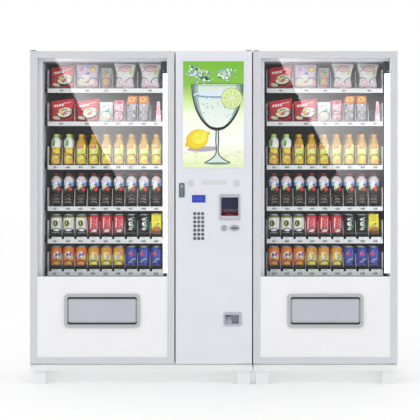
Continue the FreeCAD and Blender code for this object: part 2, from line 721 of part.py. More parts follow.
def make_keypad():
    """The fascia with its screen window and key holes, the screen, and the keys."""
    board = plate("fascia_board", "fascia_centre", "fascia_height", "fascia_wide", "fascia_high",
                  "fascia_front", "door_face", "fascia_corner")
    holes = [slab("fascia_centre", "screen_height", "screen_wide + 2 * screen_play",
                  "screen_high + 2 * screen_play", "fascia_front - past", "door_face + past")]
    for row in range(KEY_ROWS):
        for column in range(KEY_COLUMNS):
            x, z = key_place(column, row)
            holes.append(cylinder((x, "fascia_front - past", z), "key_radius + key_play", "3 * past", "Y"))
            button = rounded_button(f"key_r{row + 1}_c{column + 1}", x, z, "key_radius",
                                    "door_face - key_proud", "key_long", "key_round")
            node(f"key_r{row + 1}_c{column + 1}", [button])
    node("keypad_fascia", [cut(board, holes)])
    screen_front = "fascia_front + screen_setback"
    node("display_screen", [slab("fascia_centre", "screen_height", "screen_wide", "screen_high",
                                 screen_front, f"{screen_front} + screen_deep")])


def make_bill_acceptor():
    """A bezel with a sunk window and a note mouth, on a body that passes through the door."""
    bezel = plate("bill_bezel", "bill_centre", "bill_height", "bill_wide", "bill_high",
                  "front", "door_face", "bill_corner")
    rear = slab("bill_centre", "bill_height", "bill_body_wide", "bill_body_high",
                "door_face", "door_face + bill_body_deep")
    window = slab("bill_centre", "bill_window_height", "bill_window_wide", "bill_window_high",
                  "front - past", "front + bill_window_deep")
    mouth = slab("bill_centre", "mouth_height", "mouth_wide", "mouth_high",
                 "front - past", "front + mouth_deep")
    node("bill_acceptor", [cut(fuse([bezel, rear]), [fuse([window, mouth])])])


def make_coin_parts():
    """The coin slot's oval plate, the return button and the cup that coins drop into."""
    oval = doc.addObject("Part::Ellipse", "oval")
    oval.setExpression("MajorRadius", bound("coin_plate_long"))
    oval.setExpression("MinorRadius", bound("coin_plate_short"))
    oval.Placement = Placement(Vector(), Rotation(Vector(1, 0, 0), 90))
    place(oval, ("coin_slot_centre", "door_face", "coin_height"))
    disc = doc.addObject("Part::Extrusion", "oval_plate")
    disc.Base = oval
    disc.DirMode = "Custom"
    disc.Dir = Vector(0, -1, 0)
    disc.Solid = True
    disc.setExpression("LengthFwd", bound("coin_plate_thick"))
    slot = slab("coin_slot_centre", "coin_height", "coin_slot_wide", "coin_slot_high",
                "door_face - 2 * past", "door_face + past")
    node("coin_slot_plate", [cut(disc, [slot])])

    button = rounded_button("coin_return_button", "return_centre", "coin_height", "return_radius",
                            "door_face - return_proud", "return_long", "return_round")
    node("coin_return_button", [button])

    rim = plate("cup_rim", "cup_centre", "cup_height", "cup_wide", "cup_high", "door_face - cup_proud",
                "door_face", "cup_corner")
    pocket = slab("cavity_centre", "cavity_height", "cup_body_wide", "cup_body_high",
                  "door_face", "cavity_back + cup_wall")
    cavity = slab("cavity_centre", "cavity_height", "cavity_wide", "cavity_high",
                  "door_face - 2 * past", "door_face + cavity_deep")
    ramp = doc.addObject("Part::Wedge", "ramp")
    limits = {
        "Xmin": "0", "Xmax": "ramp_wide", "Ymin": "0", "Ymax": "ramp_high",
        "Zmin": "0", "Zmax": "cavity_deep - ramp_front", "X2min": "0", "X2max": "ramp_wide * 0.85",
        "Z2min": "0", "Z2max": "(cavity_deep - ramp_front) * 0.35",
    }
    for limit, formula in limits.items():
        ramp.setExpression(limit, bound(formula))
    ramp.Placement = Placement(Vector(), Rotation(Vector(1, 0, 0), 90))
    place(ramp, ("cavity_centre - cavity_wide / 2", "cavity_back", "cavity_height - cavity_high / 2"))
    node("coin_cup", [cut(fuse([rim, pocket]), [cavity]), ramp])


def make_lock():
    """A shallow housing with a handle that pops out of it."""
    housing = plate("lock_body", "lock_centre", "lock_height", "lock_wide", "lock_high",
                    "door_face - lock_proud", "door_face", "lock_corner")
    rear = slab("lock_centre", "lock_height", "lock_body_wide", "lock_body_high",
                "door_face", "door_face - lock_proud + lock_deep")
    handle_back = "door_face - handle_proud + handle_thick"
    well = slab("lock_centre", "lock_height", "handle_wide + 2 * handle_play",
                "handle_high + 2 * handle_play", "door_face - 3 * past", f"{handle_back} + handle_play")
    node("lock_housing", [cut(fuse([housing, rear]), [well])])
    node("lock_handle", [plate("lock_handle", "lock_centre", "lock_height", "handle_wide", "handle_high",
                               "door_face - handle_proud", handle_back, "handle_corner")])


# ---------------------------------------------------------------- build, check and write

def check_and_write():
    """Stop on any failed object, then write each sub-part to its own file."""
    doc.recompute()
    for item in doc.Objects:
        if {"Invalid", "Error"} & set(item.State):
            raise RuntimeError(f"{item.Label} failed: {item.State}")
    os.makedirs("parts", exist_ok=True)
    for part in nodes:
        if part.Shape.isNull() or not part.Shape.isValid():
            raise RuntimeError(f"{part.Label} has no valid shape")
        part.Shape.exportStep(f"parts/{part.Label}.step")
    print(len(nodes), "sub-parts written")


sheet = make_sheet()
make_shells()
make_liners()
make_base()
make_trays()
make_spiral("spiral_main", "left")
make_spiral("spiral_side", "right")
make_lights()
make_bins()
make_coolers()
make_rear()
make_payment_modules()
make_hinges()
for door_side in SIDES:
    make_goods_door(door_side)
make_centre_door()
make_keypad()
make_bill_acceptor()
make_coin_parts()
make_lock()
check_and_write()
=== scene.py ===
"""Looks of the snack vending machine: materials, stock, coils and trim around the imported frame.

Shapes are drawn in millimetres. Shape.mesh and put turn them into metres.
"""
import math
import random

import bmesh
import bpy
from mathutils import Matrix, Vector


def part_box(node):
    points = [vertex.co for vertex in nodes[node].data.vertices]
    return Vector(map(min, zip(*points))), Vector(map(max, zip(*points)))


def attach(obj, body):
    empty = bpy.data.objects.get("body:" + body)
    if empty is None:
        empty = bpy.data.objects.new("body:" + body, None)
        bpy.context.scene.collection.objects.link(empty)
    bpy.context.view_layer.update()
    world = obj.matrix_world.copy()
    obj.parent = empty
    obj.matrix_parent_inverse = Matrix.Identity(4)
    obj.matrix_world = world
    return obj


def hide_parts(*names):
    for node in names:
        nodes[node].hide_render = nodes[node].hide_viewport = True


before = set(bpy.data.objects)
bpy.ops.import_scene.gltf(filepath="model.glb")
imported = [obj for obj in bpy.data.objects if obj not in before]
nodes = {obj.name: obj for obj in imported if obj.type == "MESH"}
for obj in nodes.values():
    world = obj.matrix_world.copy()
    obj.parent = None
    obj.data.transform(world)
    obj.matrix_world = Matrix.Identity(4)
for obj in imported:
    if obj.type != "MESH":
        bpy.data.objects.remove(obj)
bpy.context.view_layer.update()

scene = bpy.context.scene
MM = 0.001
SIDES = ("left", "right")


# ---------------------------------------------------------------- places worked out from the frame

def box(name):
    """A CAD node's low and high corners, in millimetres."""
    return [Vector([round(value / MM, 4) for value in corner]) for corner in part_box(name)]


def centre(low, high):
    """The middle of a box in X and Z."""
    return (low.x + high.x) / 2, (low.z + high.z) / 2


DOOR = {side: box(f"{side}_door_frame") for side in SIDES}
PANE = {side: box(f"{side}_glass") for side in SIDES}
PITCH = DOOR["right"][0].x - DOOR["left"][0].x
TRAY_LOW, TRAY_HIGH = box("shelf_trays")
TRAY_WIDE = TRAY_HIGH.x - TRAY_LOW.x - PITCH
RAIL_FACE = box("price_rails")[0].y
FACE = DOOR["left"][0].y
SPIRAL = {"left": box("spiral_main"), "right": box("spiral_side")}
LANE_PITCH = 74.4
COIL_POSITIONS = 9
LANES = [(2, 2, 1, 2, 2), (2, 2, 1, 1, 1, 1, 1)] + 4 * [(1,) * COIL_POSITIONS]
LEVELS = [1728, 1532, 1274.5, 1030, 838, 647]


def side_shift(side):
    """How far a goods cabinet stands from the left one."""
    return 0.0 if side == "left" else PITCH


def lane_x(side, position):
    """X of a coil position, from the turning coil of the last lane."""
    last = centre(*SPIRAL["left"])[0]
    return last - LANE_PITCH * (COIL_POSITIONS - 1 - position) + side_shift(side)


# ---------------------------------------------------------------- materials

def feed(tree, socket, value):
    """Link an input to a socket, or set its value."""
    if isinstance(value, bpy.types.NodeSocket):
        tree.links.new(value, socket)
    else:
        socket.default_value = value


def node(tree, kind, **inputs):
    """A shader node. An underscore in a keyword stands for the space in an input's name."""
    made = tree.nodes.new("ShaderNode" + kind)
    for name, value in inputs.items():
        feed(tree, made.inputs[name.replace("_", " ")], value)
    return made


def maths(tree, operation, *terms):
    """The value of a maths node on numbers or sockets."""
    made = tree.nodes.new("ShaderNodeMath")
    made.operation = operation
    for socket, term in zip(made.inputs, terms):
        feed(tree, socket, term)
    return made.outputs["Value"]


def coordinates(tree, kind):
    """The X, Y and Z outputs of the object's own or generated coordinates."""
    place = node(tree, "TexCoord")
    return node(tree, "SeparateXYZ", Vector=place.outputs[kind]).outputs


def blank(name):
    """A material with its tree and its main shader."""
    made = bpy.data.materials.new(name)
    made.use_nodes = True
    return made, made.node_tree, made.node_tree.nodes["Principled BSDF"]


def dress(tree, shader, **inputs):
    """Set or link inputs of a shader."""
    for name, value in inputs.items():
        feed(tree, shader.inputs[name.replace("_", " ")], value)


def noise(tree, scale, detail=2.0, stretch=(1, 1, 1)):
    """A noise's value, in the object's own space."""
    turn = node(tree, "Mapping", Vector=node(tree, "TexCoord").outputs["Object"], Scale=stretch)
    return node(tree, "TexNoise", Vector=turn.outputs["Vector"], Scale=scale, Detail=detail).outputs["Fac"]


def ramp(tree, factor, stops):
    """A colour ramp through (position, colour) stops."""
    made = node(tree, "ValToRGB", Fac=factor)
    elements = made.color_ramp.elements
    while len(elements) < len(stops):
        elements.new(0.5)
    for element, (position, colour) in zip(elements, stops):
        element.position = position
        element.color = (*colour, 1)
    return made.outputs["Color"]


def span(tree, factor, low, high, start=0.3, end=0.7):
    """A value stretched to a range. A noise mostly runs from 0.3 to 0.7."""
    return node(tree, "MapRange", Value=factor, From_Min=start, From_Max=end, To_Min=low,
                To_Max=high).outputs["Result"]


def mixed(tree, factor, first, second):
    """A blend from one colour to another."""
    made = tree.nodes.new("ShaderNodeMix")
    made.data_type = "RGBA"
    for name, value in (("Factor", factor), ("A", first), ("B", second)):
        feed(tree, made.inputs[name], value)
    return made.outputs["Result"]


def surface(name, colour, rough=0.4, metal=0.0, spread=0.012, cloud=6.0, bump=0.03, grain=900.0,
            stretch=(1, 1, 1), coat=0.0, glow=0.0, even=False, shine=0.5):
    """A finish whose colour, relief and, unless it is even, roughness vary a little over the surface."""
    made, tree, shader = blank(name)
    dark = tuple(channel * (1 - spread) for channel in colour)
    light = tuple(min(1.0, channel * (1 + spread)) for channel in colour)
    fine = noise(tree, grain, 2.0, stretch)
    dress(tree, shader, Base_Color=ramp(tree, noise(tree, cloud, 4.0), [(0.35, dark), (0.65, light)]),
          Roughness=rough, Metallic=metal, Specular_IOR_Level=shine, Coat_Weight=coat, Coat_Roughness=0.08)
    if not even:
        dress(tree, shader, Roughness=span(tree, fine, rough * 0.88, min(1.0, rough * 1.12)))
    if bump:
        relief = node(tree, "Bump", Strength=bump, Distance=0.2 * MM, Height=fine)
        dress(tree, shader, Normal=relief.outputs["Normal"])
    if glow:
        dress(tree, shader, Emission_Color=(*colour, 1), Emission_Strength=glow)
    return made


def pane_glass(name):
    """Clear glass that lets lamps through to what stands behind it."""
    made, tree, shader = blank(name)
    dress(tree, shader, Base_Color=(0.96, 0.985, 0.98, 1), Transmission_Weight=1.0, IOR=1.45,
          Roughness=span(tree, noise(tree, 7.0, 5.0), 0.0, 0.03))
    clear = node(tree, "BsdfTransparent", Color=(0.95, 0.97, 0.97, 1))
    mix = tree.nodes.new("ShaderNodeMixShader")
    shadow = node(tree, "LightPath").outputs["Is Shadow Ray"]
    for socket, value in zip(mix.inputs, (shadow, shader.outputs["BSDF"], clear.outputs["BSDF"])):
        feed(tree, socket, value)
    tree.links.new(mix.outputs["Shader"], tree.nodes["Material Output"].inputs["Surface"])
    return made


# Painted shade: the depth over which the walls darken, how deep the dark back wall reaches, the ceiling's
# height, and how much more quickly the ceiling darkens.
LINER_SHADE_DEPTH = 0.26
BACK_WALL = 0.066
CEILING_LOW = 1.88
CEILING_SHADE_RATE = 2.4


def liner_painted_shade(name):
    """Pale moulded walls with painted shade that darkens them with depth, more quickly on the ceiling, and a
    dark back wall whose grey is partly painted shade.
    """
    made = surface(name, (0.90, 0.88, 0.96), rough=0.5, bump=0.05, grain=500)
    tree = made.node_tree
    shader = tree.nodes["Principled BSDF"]
    low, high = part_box("compartment_liners")
    parts = coordinates(tree, "Object")
    # Painted shade: the walls go from pale to dark grey with depth, more quickly near the ceiling.
    ceiling_shade_rate = span(tree, parts["Z"], 1.0, CEILING_SHADE_RATE, CEILING_LOW - 0.015, CEILING_LOW - 0.001)
    depth = maths(tree, "MULTIPLY", maths(tree, "ADD", parts["Y"], -low.y), ceiling_shade_rate)
    pale = shader.inputs["Base Color"].links[0].from_socket
    painted_depth_shade = mixed(tree, span(tree, depth, 0.0, 1.0, 0.01, LINER_SHADE_DEPTH), pale, (0.27, 0.265, 0.30, 1))
    # The back wall's dark grey is partly its own colour and partly painted shade.
    behind = maths(tree, "GREATER_THAN", parts["Y"], high.y - BACK_WALL)
    dress(tree, shader, Base_Color=mixed(tree, behind, painted_depth_shade, (0.050, 0.046, 0.054, 1)))
    return made


def gradient(name, stops):
    """A gloss print whose colour runs up the piece between (height share, colour) stops."""
    made, tree, shader = blank(name)
    height = maths(tree, "MULTIPLY_ADD", noise(tree, 9.0, 3.0), 0.06, coordinates(tree, "Generated")["Z"])
    dress(tree, shader, Base_Color=ramp(tree, height, stops), Roughness=0.18, Coat_Weight=0.4,
          Coat_Roughness=0.05)
    return made


ALONG_Z = (1, 1, 0.02)
ALONG_X = (0.04, 1, 1)
FINISH = {
    "cabinet": surface("cabinet_powder_coat", (0.80, 0.80, 0.81), rough=0.42, bump=0.12, grain=1400),
    "liner": liner_painted_shade("compartment_liner"),
    "plinth": surface("plinth_powder_coat", (0.80, 0.805, 0.81), rough=0.45, bump=0.12, grain=1400),
    "tray": surface("tray_powder_coat", (0.86, 0.86, 0.89), rough=0.38, bump=0.08, grain=1200),
    "price": surface("price_rail_white", (0.75, 0.75, 0.765), rough=0.35, bump=0.02),
    "black": surface("black_plastic", (0.005, 0.005, 0.006), rough=0.5, spread=0.2, bump=0.15, grain=800,
                     shine=0.08),
    "wire": surface("coil_wire", (0.035, 0.035, 0.04), rough=0.3, metal=0.2, spread=0.1, bump=0.0),
    "lamp": surface("lamp_diffuser", (1.0, 1.0, 1.0), rough=0.5, spread=0.0, bump=0.0, glow=3.0),
    "bin": surface("bin_steel", (0.42, 0.43, 0.45), bump=0.06),
    "cooler": surface("cooler_paint", (0.07, 0.07, 0.075), rough=0.5, spread=0.15, bump=0.2, grain=400),
    "grille": surface("grille_paint", (0.62, 0.62, 0.64), rough=0.45, bump=0.1),
    "frame": surface("satin_aluminium", (0.62, 0.63, 0.66), rough=0.38, metal=0.12, spread=0.015,
                     bump=0.10, grain=1500, stretch=ALONG_Z),
    "pane": pane_glass("door_pane"),
    "door": surface("door_powder_coat", (0.83, 0.83, 0.845), rough=0.36, bump=0.10, grain=1400, coat=0.15),
    "centre": surface("centre_powder_coat", (0.715, 0.73, 0.78), rough=0.38, bump=0.10, grain=1400, coat=0.1),
    "bezel": surface("bezel_plastic", (0.455, 0.46, 0.485), rough=0.34, bump=0.15, grain=700, coat=0.1),
    "flap": surface("flap_plastic", (0.47, 0.49, 0.54), rough=0.30, bump=0.06, grain=700, coat=0.2),
    "screen": surface("lit_screen", (0.030, 0.055, 0.40), rough=0.16, spread=0.06, cloud=20, bump=0.0,
                      coat=0.3, glow=0.22),
    "key": surface("key_rubber", (0.085, 0.09, 0.10), rough=0.5, spread=0.12, bump=0.2),
    "acceptor": surface("acceptor_bezel", (0.56, 0.555, 0.61), rough=0.35, bump=0.1, grain=800),
    "coin": surface("brushed_plate", (0.45, 0.46, 0.50), rough=0.33, metal=0.7, bump=0.1, grain=1500,
                    stretch=ALONG_X),
    "cup": surface("cup_plastic", (0.44, 0.45, 0.51), bump=0.12, grain=800),
    "lock": surface("lock_plastic", (0.13, 0.17, 0.20), spread=0.1, bump=0.15),
    "module": surface("module_paint", (0.30, 0.31, 0.33), bump=0.08),
    "hinge": surface("hinge_plating", (0.55, 0.55, 0.57), rough=0.35, metal=0.8, bump=0.05),
    "rubber": surface("seal_rubber", (0.03, 0.03, 0.032), rough=0.6, spread=0.2, bump=0.1, grain=700),
    "trim": surface("trim_plastic", (0.63, 0.64, 0.665), bump=0.1, grain=800),
    # Painted shade: the dark grey of the speaker holes stands for the shade inside them.
    "hole": surface("speaker_hole_painted_shade", (0.30, 0.30, 0.32), rough=0.7, spread=0.1, bump=0.0),
    "figures": surface("screen_figures", (0.055, 0.095, 0.49), spread=0.02, bump=0.0, glow=0.24),
    "bead": surface("pane_bead", (0.86, 0.86, 0.90), rough=0.45, spread=0.03, bump=0.05),
    "key_print": surface("key_print", (0.55, 0.56, 0.58), rough=0.5, spread=0.05, bump=0.0),
    "window": surface("acceptor_window", (0.030, 0.034, 0.060), rough=0.10, spread=0.15, cloud=12, bump=0.0,
                      coat=0.5),
    "lens": surface("acceptor_lens", (0.075, 0.006, 0.022), rough=0.08, spread=0.25, cloud=16, bump=0.0,
                    coat=0.8),
    "lens_edge": surface("lens_edge", (0.30, 0.10, 0.15), rough=0.2, spread=0.1, bump=0.0, coat=0.5),
}
NODE_FINISH = {
    "main_cabinet_shell": "cabinet", "side_cabinet_shell": "cabinet", "compartment_liners": "liner",
    "base_plinths": "plinth", "support_legs": "plinth", "shelf_trays": "tray", "lane_dividers": "tray",
    "price_rails": "price", "tray_runners": "black", "vend_motors": "black", "spiral_main": "wire",
    "spiral_side": "wire", "light_strips": "lamp", "collection_bins": "bin", "cooling_units": "cooler",
    "rear_grilles": "grille", "power_inlet": "black", "payment_modules": "module",
    "hinge_brackets": "hinge", "centre_door_panel": "centre", "advert_panel": "price",
    "display_screen": "screen", "keypad_fascia": "centre", "bill_acceptor": "acceptor",
    "coin_slot_plate": "coin", "coin_return_button": "coin", "coin_cup": "cup",
    "lock_housing": "lock", "lock_handle": "lock",
}
for side in SIDES:
    NODE_FINISH.update({
        f"{side}_door_frame": "frame", f"{side}_glass": "pane", f"{side}_lower_panel": "door",
        f"{side}_delivery_bezel": "bezel", f"{side}_delivery_flap": "flap",
    })


def dress_nodes():
    """Give every CAD node its finish. The nodes that are not listed are keys."""
    for name, piece in nodes.items():
        piece.data.materials.clear()
        piece.data.materials.append(FINISH[NODE_FINISH.get(name, "key")])
        for face in piece.data.polygons:
            face.material_index = 0


# ---------------------------------------------------------------- shaping tools

def loft(rows, count, closed=False):
    """Faces between rows of count points. A closed loft also joins the last row to the first."""
    faces = []
    for row in range(rows if closed else rows - 1):
        below, above = row * count, (row + 1) % rows * count
        for step in range(count):
            after = (step + 1) % count
            faces.append((below + step, below + after, above + after, above + step))
    return faces


def corner_rows(low, high, radius, rows, corners):
    """Points of rounded rectangles in X and Z, one rectangle for each (inset, y) row."""
    points = []
    for inset, y in rows:
        keep, reach = max(radius, inset + 0.3), max(radius - inset, 0.3)
        left, right, foot, top = low[0] + keep, high[0] - keep, low[2] + keep, high[2] - keep
        for quarter, (x, z) in enumerate(((right, top), (left, top), (left, foot), (right, foot))):
            for step in range(corners + 1):
                angle = math.pi / 2 * (quarter + step / corners)
                points.append((x + reach * math.cos(angle), y, z + reach * math.sin(angle)))
    return points


class Shape:
    """Gathers points, faces and the finish of each face, then makes one object."""

    def __init__(self):
        self.points, self.faces, self.marks = [], [], []

    def add(self, points, faces, mark=0):
        first = len(self.points)
        self.points += [tuple(point) for point in points]
        self.faces += [tuple(first + index for index in face) for face in faces]
        self.marks += [mark] * len(faces)

    def lathe(self, rings, steps=36):
        """Turn rings of (radius, height, finish of the band above) about Z. A radius of 0 is a tip."""
        for (r_low, z_low, mark), (r_high, z_high, _) in zip(rings, rings[1:]):
            points = []
            for radius, z in ((r_low, z_low), (r_high, z_high)):
                for step in range(steps):
                    angle = 2 * math.pi * step / steps
                    points.append((radius * math.cos(angle), radius * math.sin(angle), z))
            if r_low == 0:
                faces = [(0, steps + (step + 1) % steps, steps + step) for step in range(steps)]
            elif r_high == 0:
                faces = [(step, (step + 1) % steps, steps) for step in range(steps)]
            else:
                faces = loft(2, steps)
            self.add(points, faces, mark)

    def lathe_y(self, rings, at, steps=24, mark=0):
        """Turn (radius, depth) rings about a line along Y through (x, z) = at."""
        upright = Shape()
        upright.lathe([(radius, y, mark) for radius, y in rings], steps)
        self.add([(at[0] + x, z, at[1] - y) for x, y, z in upright.points], upright.faces, mark)

    def grid(self, across, up, where, mark=0, flip=False):
        """A sheet of cells whose corners are where(i / across, j / up)."""
        points = [where(i / across, j / up) for j in range(up + 1) for i in range(across + 1)]
        faces = []
        for j in range(up):
            for i in range(across):
                corner = j * (across + 1) + i
                face = (corner, corner + 1, corner + across + 2, corner + across + 1)
                faces.append(face[::-1] if flip else face)
        self.add(points, faces, mark)

    def patch(self, outline, where, mark, rings=3):
        """A printed area: an outline of (across, up) filled towards its middle and laid on a surface."""
        count = len(outline)
        middle = (sum(p[0] for p in outline) / count, sum(p[1] for p in outline) / count)
        points = []
        for ring in range(rings):
            share = 1 - ring / rings
            points += [where(middle[0] + (u - middle[0]) * share, middle[1] + (v - middle[1]) * share)
                       for u, v in outline]
        points.append(where(*middle))
        last = (rings - 1) * count
        tip = [(last + step, last + (step + 1) % count, rings * count) for step in range(count)]
        self.add(points, loft(rings, count) + tip, mark)

    def ring(self, outer, inner, where, mark):
        """The area between two outlines with as many points."""
        self.add([where(u, v) for u, v in outer + inner], loft(2, len(outer)), mark)

    def stroke(self, left, right, where, mark):
        """The strip between two lines with as many points."""
        count = len(left)
        faces = [(step, count + step, count + step + 1, step + 1) for step in range(count - 1)]
        self.add([where(u, v) for u, v in left + right], faces, mark)

    def prints(self, layers, rows):
        """Patches from (layer, colour, outline) or (layer, colour, outline, rings) rows."""
        for layer, colour, outline, *rings in rows:
            self.patch(outline, layers[layer], mark(colour), *rings)

    def block(self, low, high, soft, mark=0, steps=2):
        """A box whose edges are rounded by soft."""
        cell = bmesh.new()
        bmesh.ops.create_cube(cell, size=1.0)
        size = Vector(high) - Vector(low)
        middle = (Vector(high) + Vector(low)) / 2
        for vert in cell.verts:
            vert.co = Vector(a * b for a, b in zip(vert.co, size)) + middle
        bmesh.ops.bevel(cell, geom=cell.edges[:], offset=soft, segments=steps, profile=0.5, affect="EDGES")
        cell.verts.index_update()
        self.add([vert.co[:] for vert in cell.verts],
                 [[vert.index for vert in face.verts] for face in cell.faces], mark)
        cell.free()

    def tube(self, path, radius, mark=0, sides=6):
        """A round wire along a list of points, closed at both ends."""
        rings = []
        side = None
        for index, point in enumerate(path):
            ahead = path[min(index + 1, len(path) - 1)] - path[max(index - 1, 0)]
            ahead.normalize()
            side = side or ahead.orthogonal()
            side = (side - ahead * side.dot(ahead)).normalized()
            across = ahead.cross(side)
            rings += [point + (side * math.cos(a) + across * math.sin(a)) * radius
                      for a in (2 * math.pi * step / sides for step in range(sides))]
        ends = [tuple(range(sides))[::-1], tuple(len(rings) - sides + step for step in range(sides))]
        self.add(rings, loft(len(path), sides) + ends, mark)

    def plate(self, low, high, radius, soft, mark=0, corners=6):
        """A plate in X and Z whose corners and front edge are rounded. It faces -Y."""
        rows = [(0, high[1]), (0, low[1] + soft), (soft * 0.3, low[1] + soft * 0.3), (soft, low[1])]
        count = 4 * (corners + 1)
        ends = [tuple(range(3 * count, 4 * count)), tuple(range(count))[::-1]]
        self.add(corner_rows(low, high, radius, rows, corners), loft(4, count) + ends, mark)

    def frame(self, low, high, radius, wide, soft, corners=6):
        """A rounded rectangular frame that faces -Y: a raised band with a rounded section."""
        front, back = low[1], high[1]
        shoulder, slope = front + soft, soft * 0.3
        rows = [(0, back), (0, shoulder), (slope, front + slope), (soft, front),
                (wide - soft, front), (wide - slope, front + slope), (wide, shoulder), (wide, back)]
        self.add(corner_rows(low, high, radius, rows, corners), loft(8, 4 * (corners + 1), True))

    def mesh(self, name, finishes, crease=35):
        """The mesh, in metres, with the finishes that its marks use."""
        made = bpy.data.meshes.new(name)
        made.from_pydata([tuple(value * MM for value in point) for point in self.points], [], self.faces)
        used = sorted(set(self.marks))
        for index in used:
            made.materials.append(finishes[index])
        made.polygons.foreach_set("material_index", [used.index(mark) for mark in self.marks])
        made.polygons.foreach_set("use_smooth", [True] * len(self.faces))
        weld = bmesh.new()
        weld.from_mesh(made)
        bmesh.ops.remove_doubles(weld, verts=weld.verts[:], dist=0.01 * MM)
        weld.to_mesh(made)
        weld.free()
        made.set_sharp_from_angle(angle=math.radians(crease))
        return made

    def place(self, name, body, slot, *finishes, crease=35):
        """Make the shape one piece of the machine, with one finish for each mark."""
        return put(self.mesh(name, [FINISH[finish] for finish in finishes], crease), name, body)


def spot(at, turn=0.0):
    """The placing of a piece that stands at a point, in millimetres, and turns about Z."""
    return Matrix.Translation(Vector(at) * MM) @ Matrix.Rotation(turn, 4, "Z")


def put(mesh, name, body, at=(0, 0, 0), turn=0.0):
    """Place a mesh as a piece that rides on a body."""
    piece = bpy.data.objects.new(name, mesh)
    piece.matrix_world = spot(at, turn)
    scene.collection.objects.link(piece)
    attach(piece, body)
    return piece


def framed(name, body, slot, finish, around, front, back, grow, radius, wide, soft, corners=6):
    """A frame round a box that grows by (X, Z) and reaches from front to back in Y."""
    low, high = around
    border = Shape()
    border.frame((low.x - grow[0], front, low.z - grow[1]), (high.x + grow[0], back, high.z + grow[1]),
                 radius, wide, soft, corners)
    border.place(name, body, slot, finish)


def curve(points, steps=6):
    """A smooth line through points in two directions."""
    line = []
    count = len(points)
    for index in range(count - 1):
        before = points[max(index - 1, 0)]
        start, end = points[index], points[index + 1]
        after = points[min(index + 2, count - 1)]
        for t in (step / steps for step in range(steps)):
            line.append(tuple(
                0.5 * (2 * b + (c - a) * t + (2 * a - 5 * b + 4 * c - d) * t * t
                       + (3 * b - a - 3 * c + d) * t ** 3)
                for a, b, c, d in zip(before, start, end, after)))
    line.append(points[-1])
    return line


def turned(points, u, v, turn):
    """Points of an outline, turned and moved to (u, v)."""
    return [(u + x * math.cos(turn) - y * math.sin(turn), v + x * math.sin(turn) + y * math.cos(turn))
            for x, y in points]


def oval(u, v, wide, high, count=28, turn=0.0):
    """An ellipse's outline."""
    angles = [2 * math.pi * step / count for step in range(count)]
    return turned([(wide * math.cos(angle), high * math.sin(angle)) for angle in angles], u, v, turn)


def bar(u, v, wide, high, turn=0.0, lean=0.0, steps=4):
    """A rectangle's outline, with points along its sides so that it can follow a curve."""
    corners = [(-wide, -high), (wide, -high), (wide + lean, high), (-wide + lean, high)]
    points = [(x0 + (x1 - x0) * step / steps, y0 + (y1 - y0) * step / steps)
              for (x0, y0), (x1, y1) in zip(corners, corners[1:] + corners[:1]) for step in range(steps)]
    return turned(points, u, v, turn)


def band(line, thick):
    """The two edges of a stroke along a line of (across, up, share of the thickness)."""
    left, right = [], []
    for index, (u, v, share) in enumerate(line):
        ahead = line[min(index + 1, len(line) - 1)]
        behind = line[max(index - 1, 0)]
        du, dv = ahead[0] - behind[0], ahead[1] - behind[1]
        reach = thick * share / 2 / (math.hypot(du, dv) or 1)
        left.append((u - dv * reach, v + du * reach))
        right.append((u + dv * reach, v - du * reach))
    return left, right


# ---------------------------------------------------------------- stock: print colours

def ink(name, colour, rough=0.32, coat=0.2, **more):
    return surface(name, colour, rough=rough, coat=coat, spread=0.05, cloud=30.0, bump=0.0, even=True, **more)


def drink(name, colour, clear=0.25, coat=0.6, shine=0.5):
    """A coloured drink behind clear plastic."""
    made = surface(name, colour, rough=0.06, spread=0.10, cloud=18.0, bump=0.0, coat=coat, even=True,
                   shine=shine)
    made.node_tree.nodes["Principled BSDF"].inputs["Transmission Weight"].default_value = clear
    return made


PRINT_COLOURS = {
    "red": (0.72, 0.015, 0.03), "deep_red": (0.42, 0.008, 0.02), "crimson": (0.26, 0.004, 0.022),
    "rose": (0.85, 0.22, 0.36), "pink": (0.90, 0.50, 0.60), "lilac": (0.66, 0.55, 0.80),
    "white": (0.88, 0.87, 0.87), "cream": (0.86, 0.82, 0.62), "ivory": (0.90, 0.90, 0.80),
    "yellow": (0.92, 0.74, 0.03), "lemon": (0.87, 0.82, 0.12), "sun": (0.92, 0.84, 0.03),
    "honey": (0.90, 0.62, 0.13), "gold": (0.80, 0.43, 0.03), "orange": (0.88, 0.22, 0.01),
    "amber": (0.85, 0.38, 0.03), "brown": (0.20, 0.07, 0.02), "green": (0.09, 0.38, 0.06),
    "lime": (0.52, 0.74, 0.17), "olive": (0.22, 0.23, 0.06), "teal": (0.05, 0.42, 0.45),
    "sky": (0.28, 0.50, 0.85), "blue": (0.03, 0.05, 0.42), "violet": (0.16, 0.07, 0.50),
    "grey": (0.35, 0.34, 0.36),
}
INK = {name: ink("print_" + name, colour) for name, colour in PRINT_COLOURS.items()}
INK.update({
    "black": ink("print_black", (0.008, 0.008, 0.010), coat=0.08, shine=0.25),
    "tea": drink("tea_drink", (0.62, 0.35, 0.006), 0.1, 0.3),
    "juice": drink("juice_drink", (0.90, 0.52, 0.03), 0.1, 0.4),
    "cola": drink("cola_drink", (0.010, 0.0045, 0.0035), 0.0, 0.12, 0.15),
    "metal": surface("can_metal", (0.72, 0.72, 0.74), rough=0.28, metal=0.9),
    "film": ink("clear_film", (0.42, 0.41, 0.44), rough=0.15, coat=0.6),
})
INK_NAMES = list(INK)


def mark(name):
    return INK_NAMES.index(name)


def on_cylinder(radius, lift=0.3):
    """Lay print on a round body, centred on the side that faces the customer."""
    def where(u, v):
        reach = radius(v) if callable(radius) else radius
        angle = u / reach
        return ((reach + lift) * math.sin(angle), -(reach + lift) * math.cos(angle), v)
    return where


def raised(where, lift):
    """The same place, but further out of the front."""
    return lambda u, v: tuple(Vector(where(u, v)) + Vector((0, -lift, 0)))


def banded(bands, height):
    """The colour at a height, from (top of the band, colour) pairs."""
    return mark(next(name for top, name in bands if height <= top + 0.001))


def round_layers(radius):
    """Three layers of print on a round body."""
    return [on_cylinder(radius, lift) for lift in (0.3, 0.6, 0.9)]


# ---------------------------------------------------------------- stock: bottles

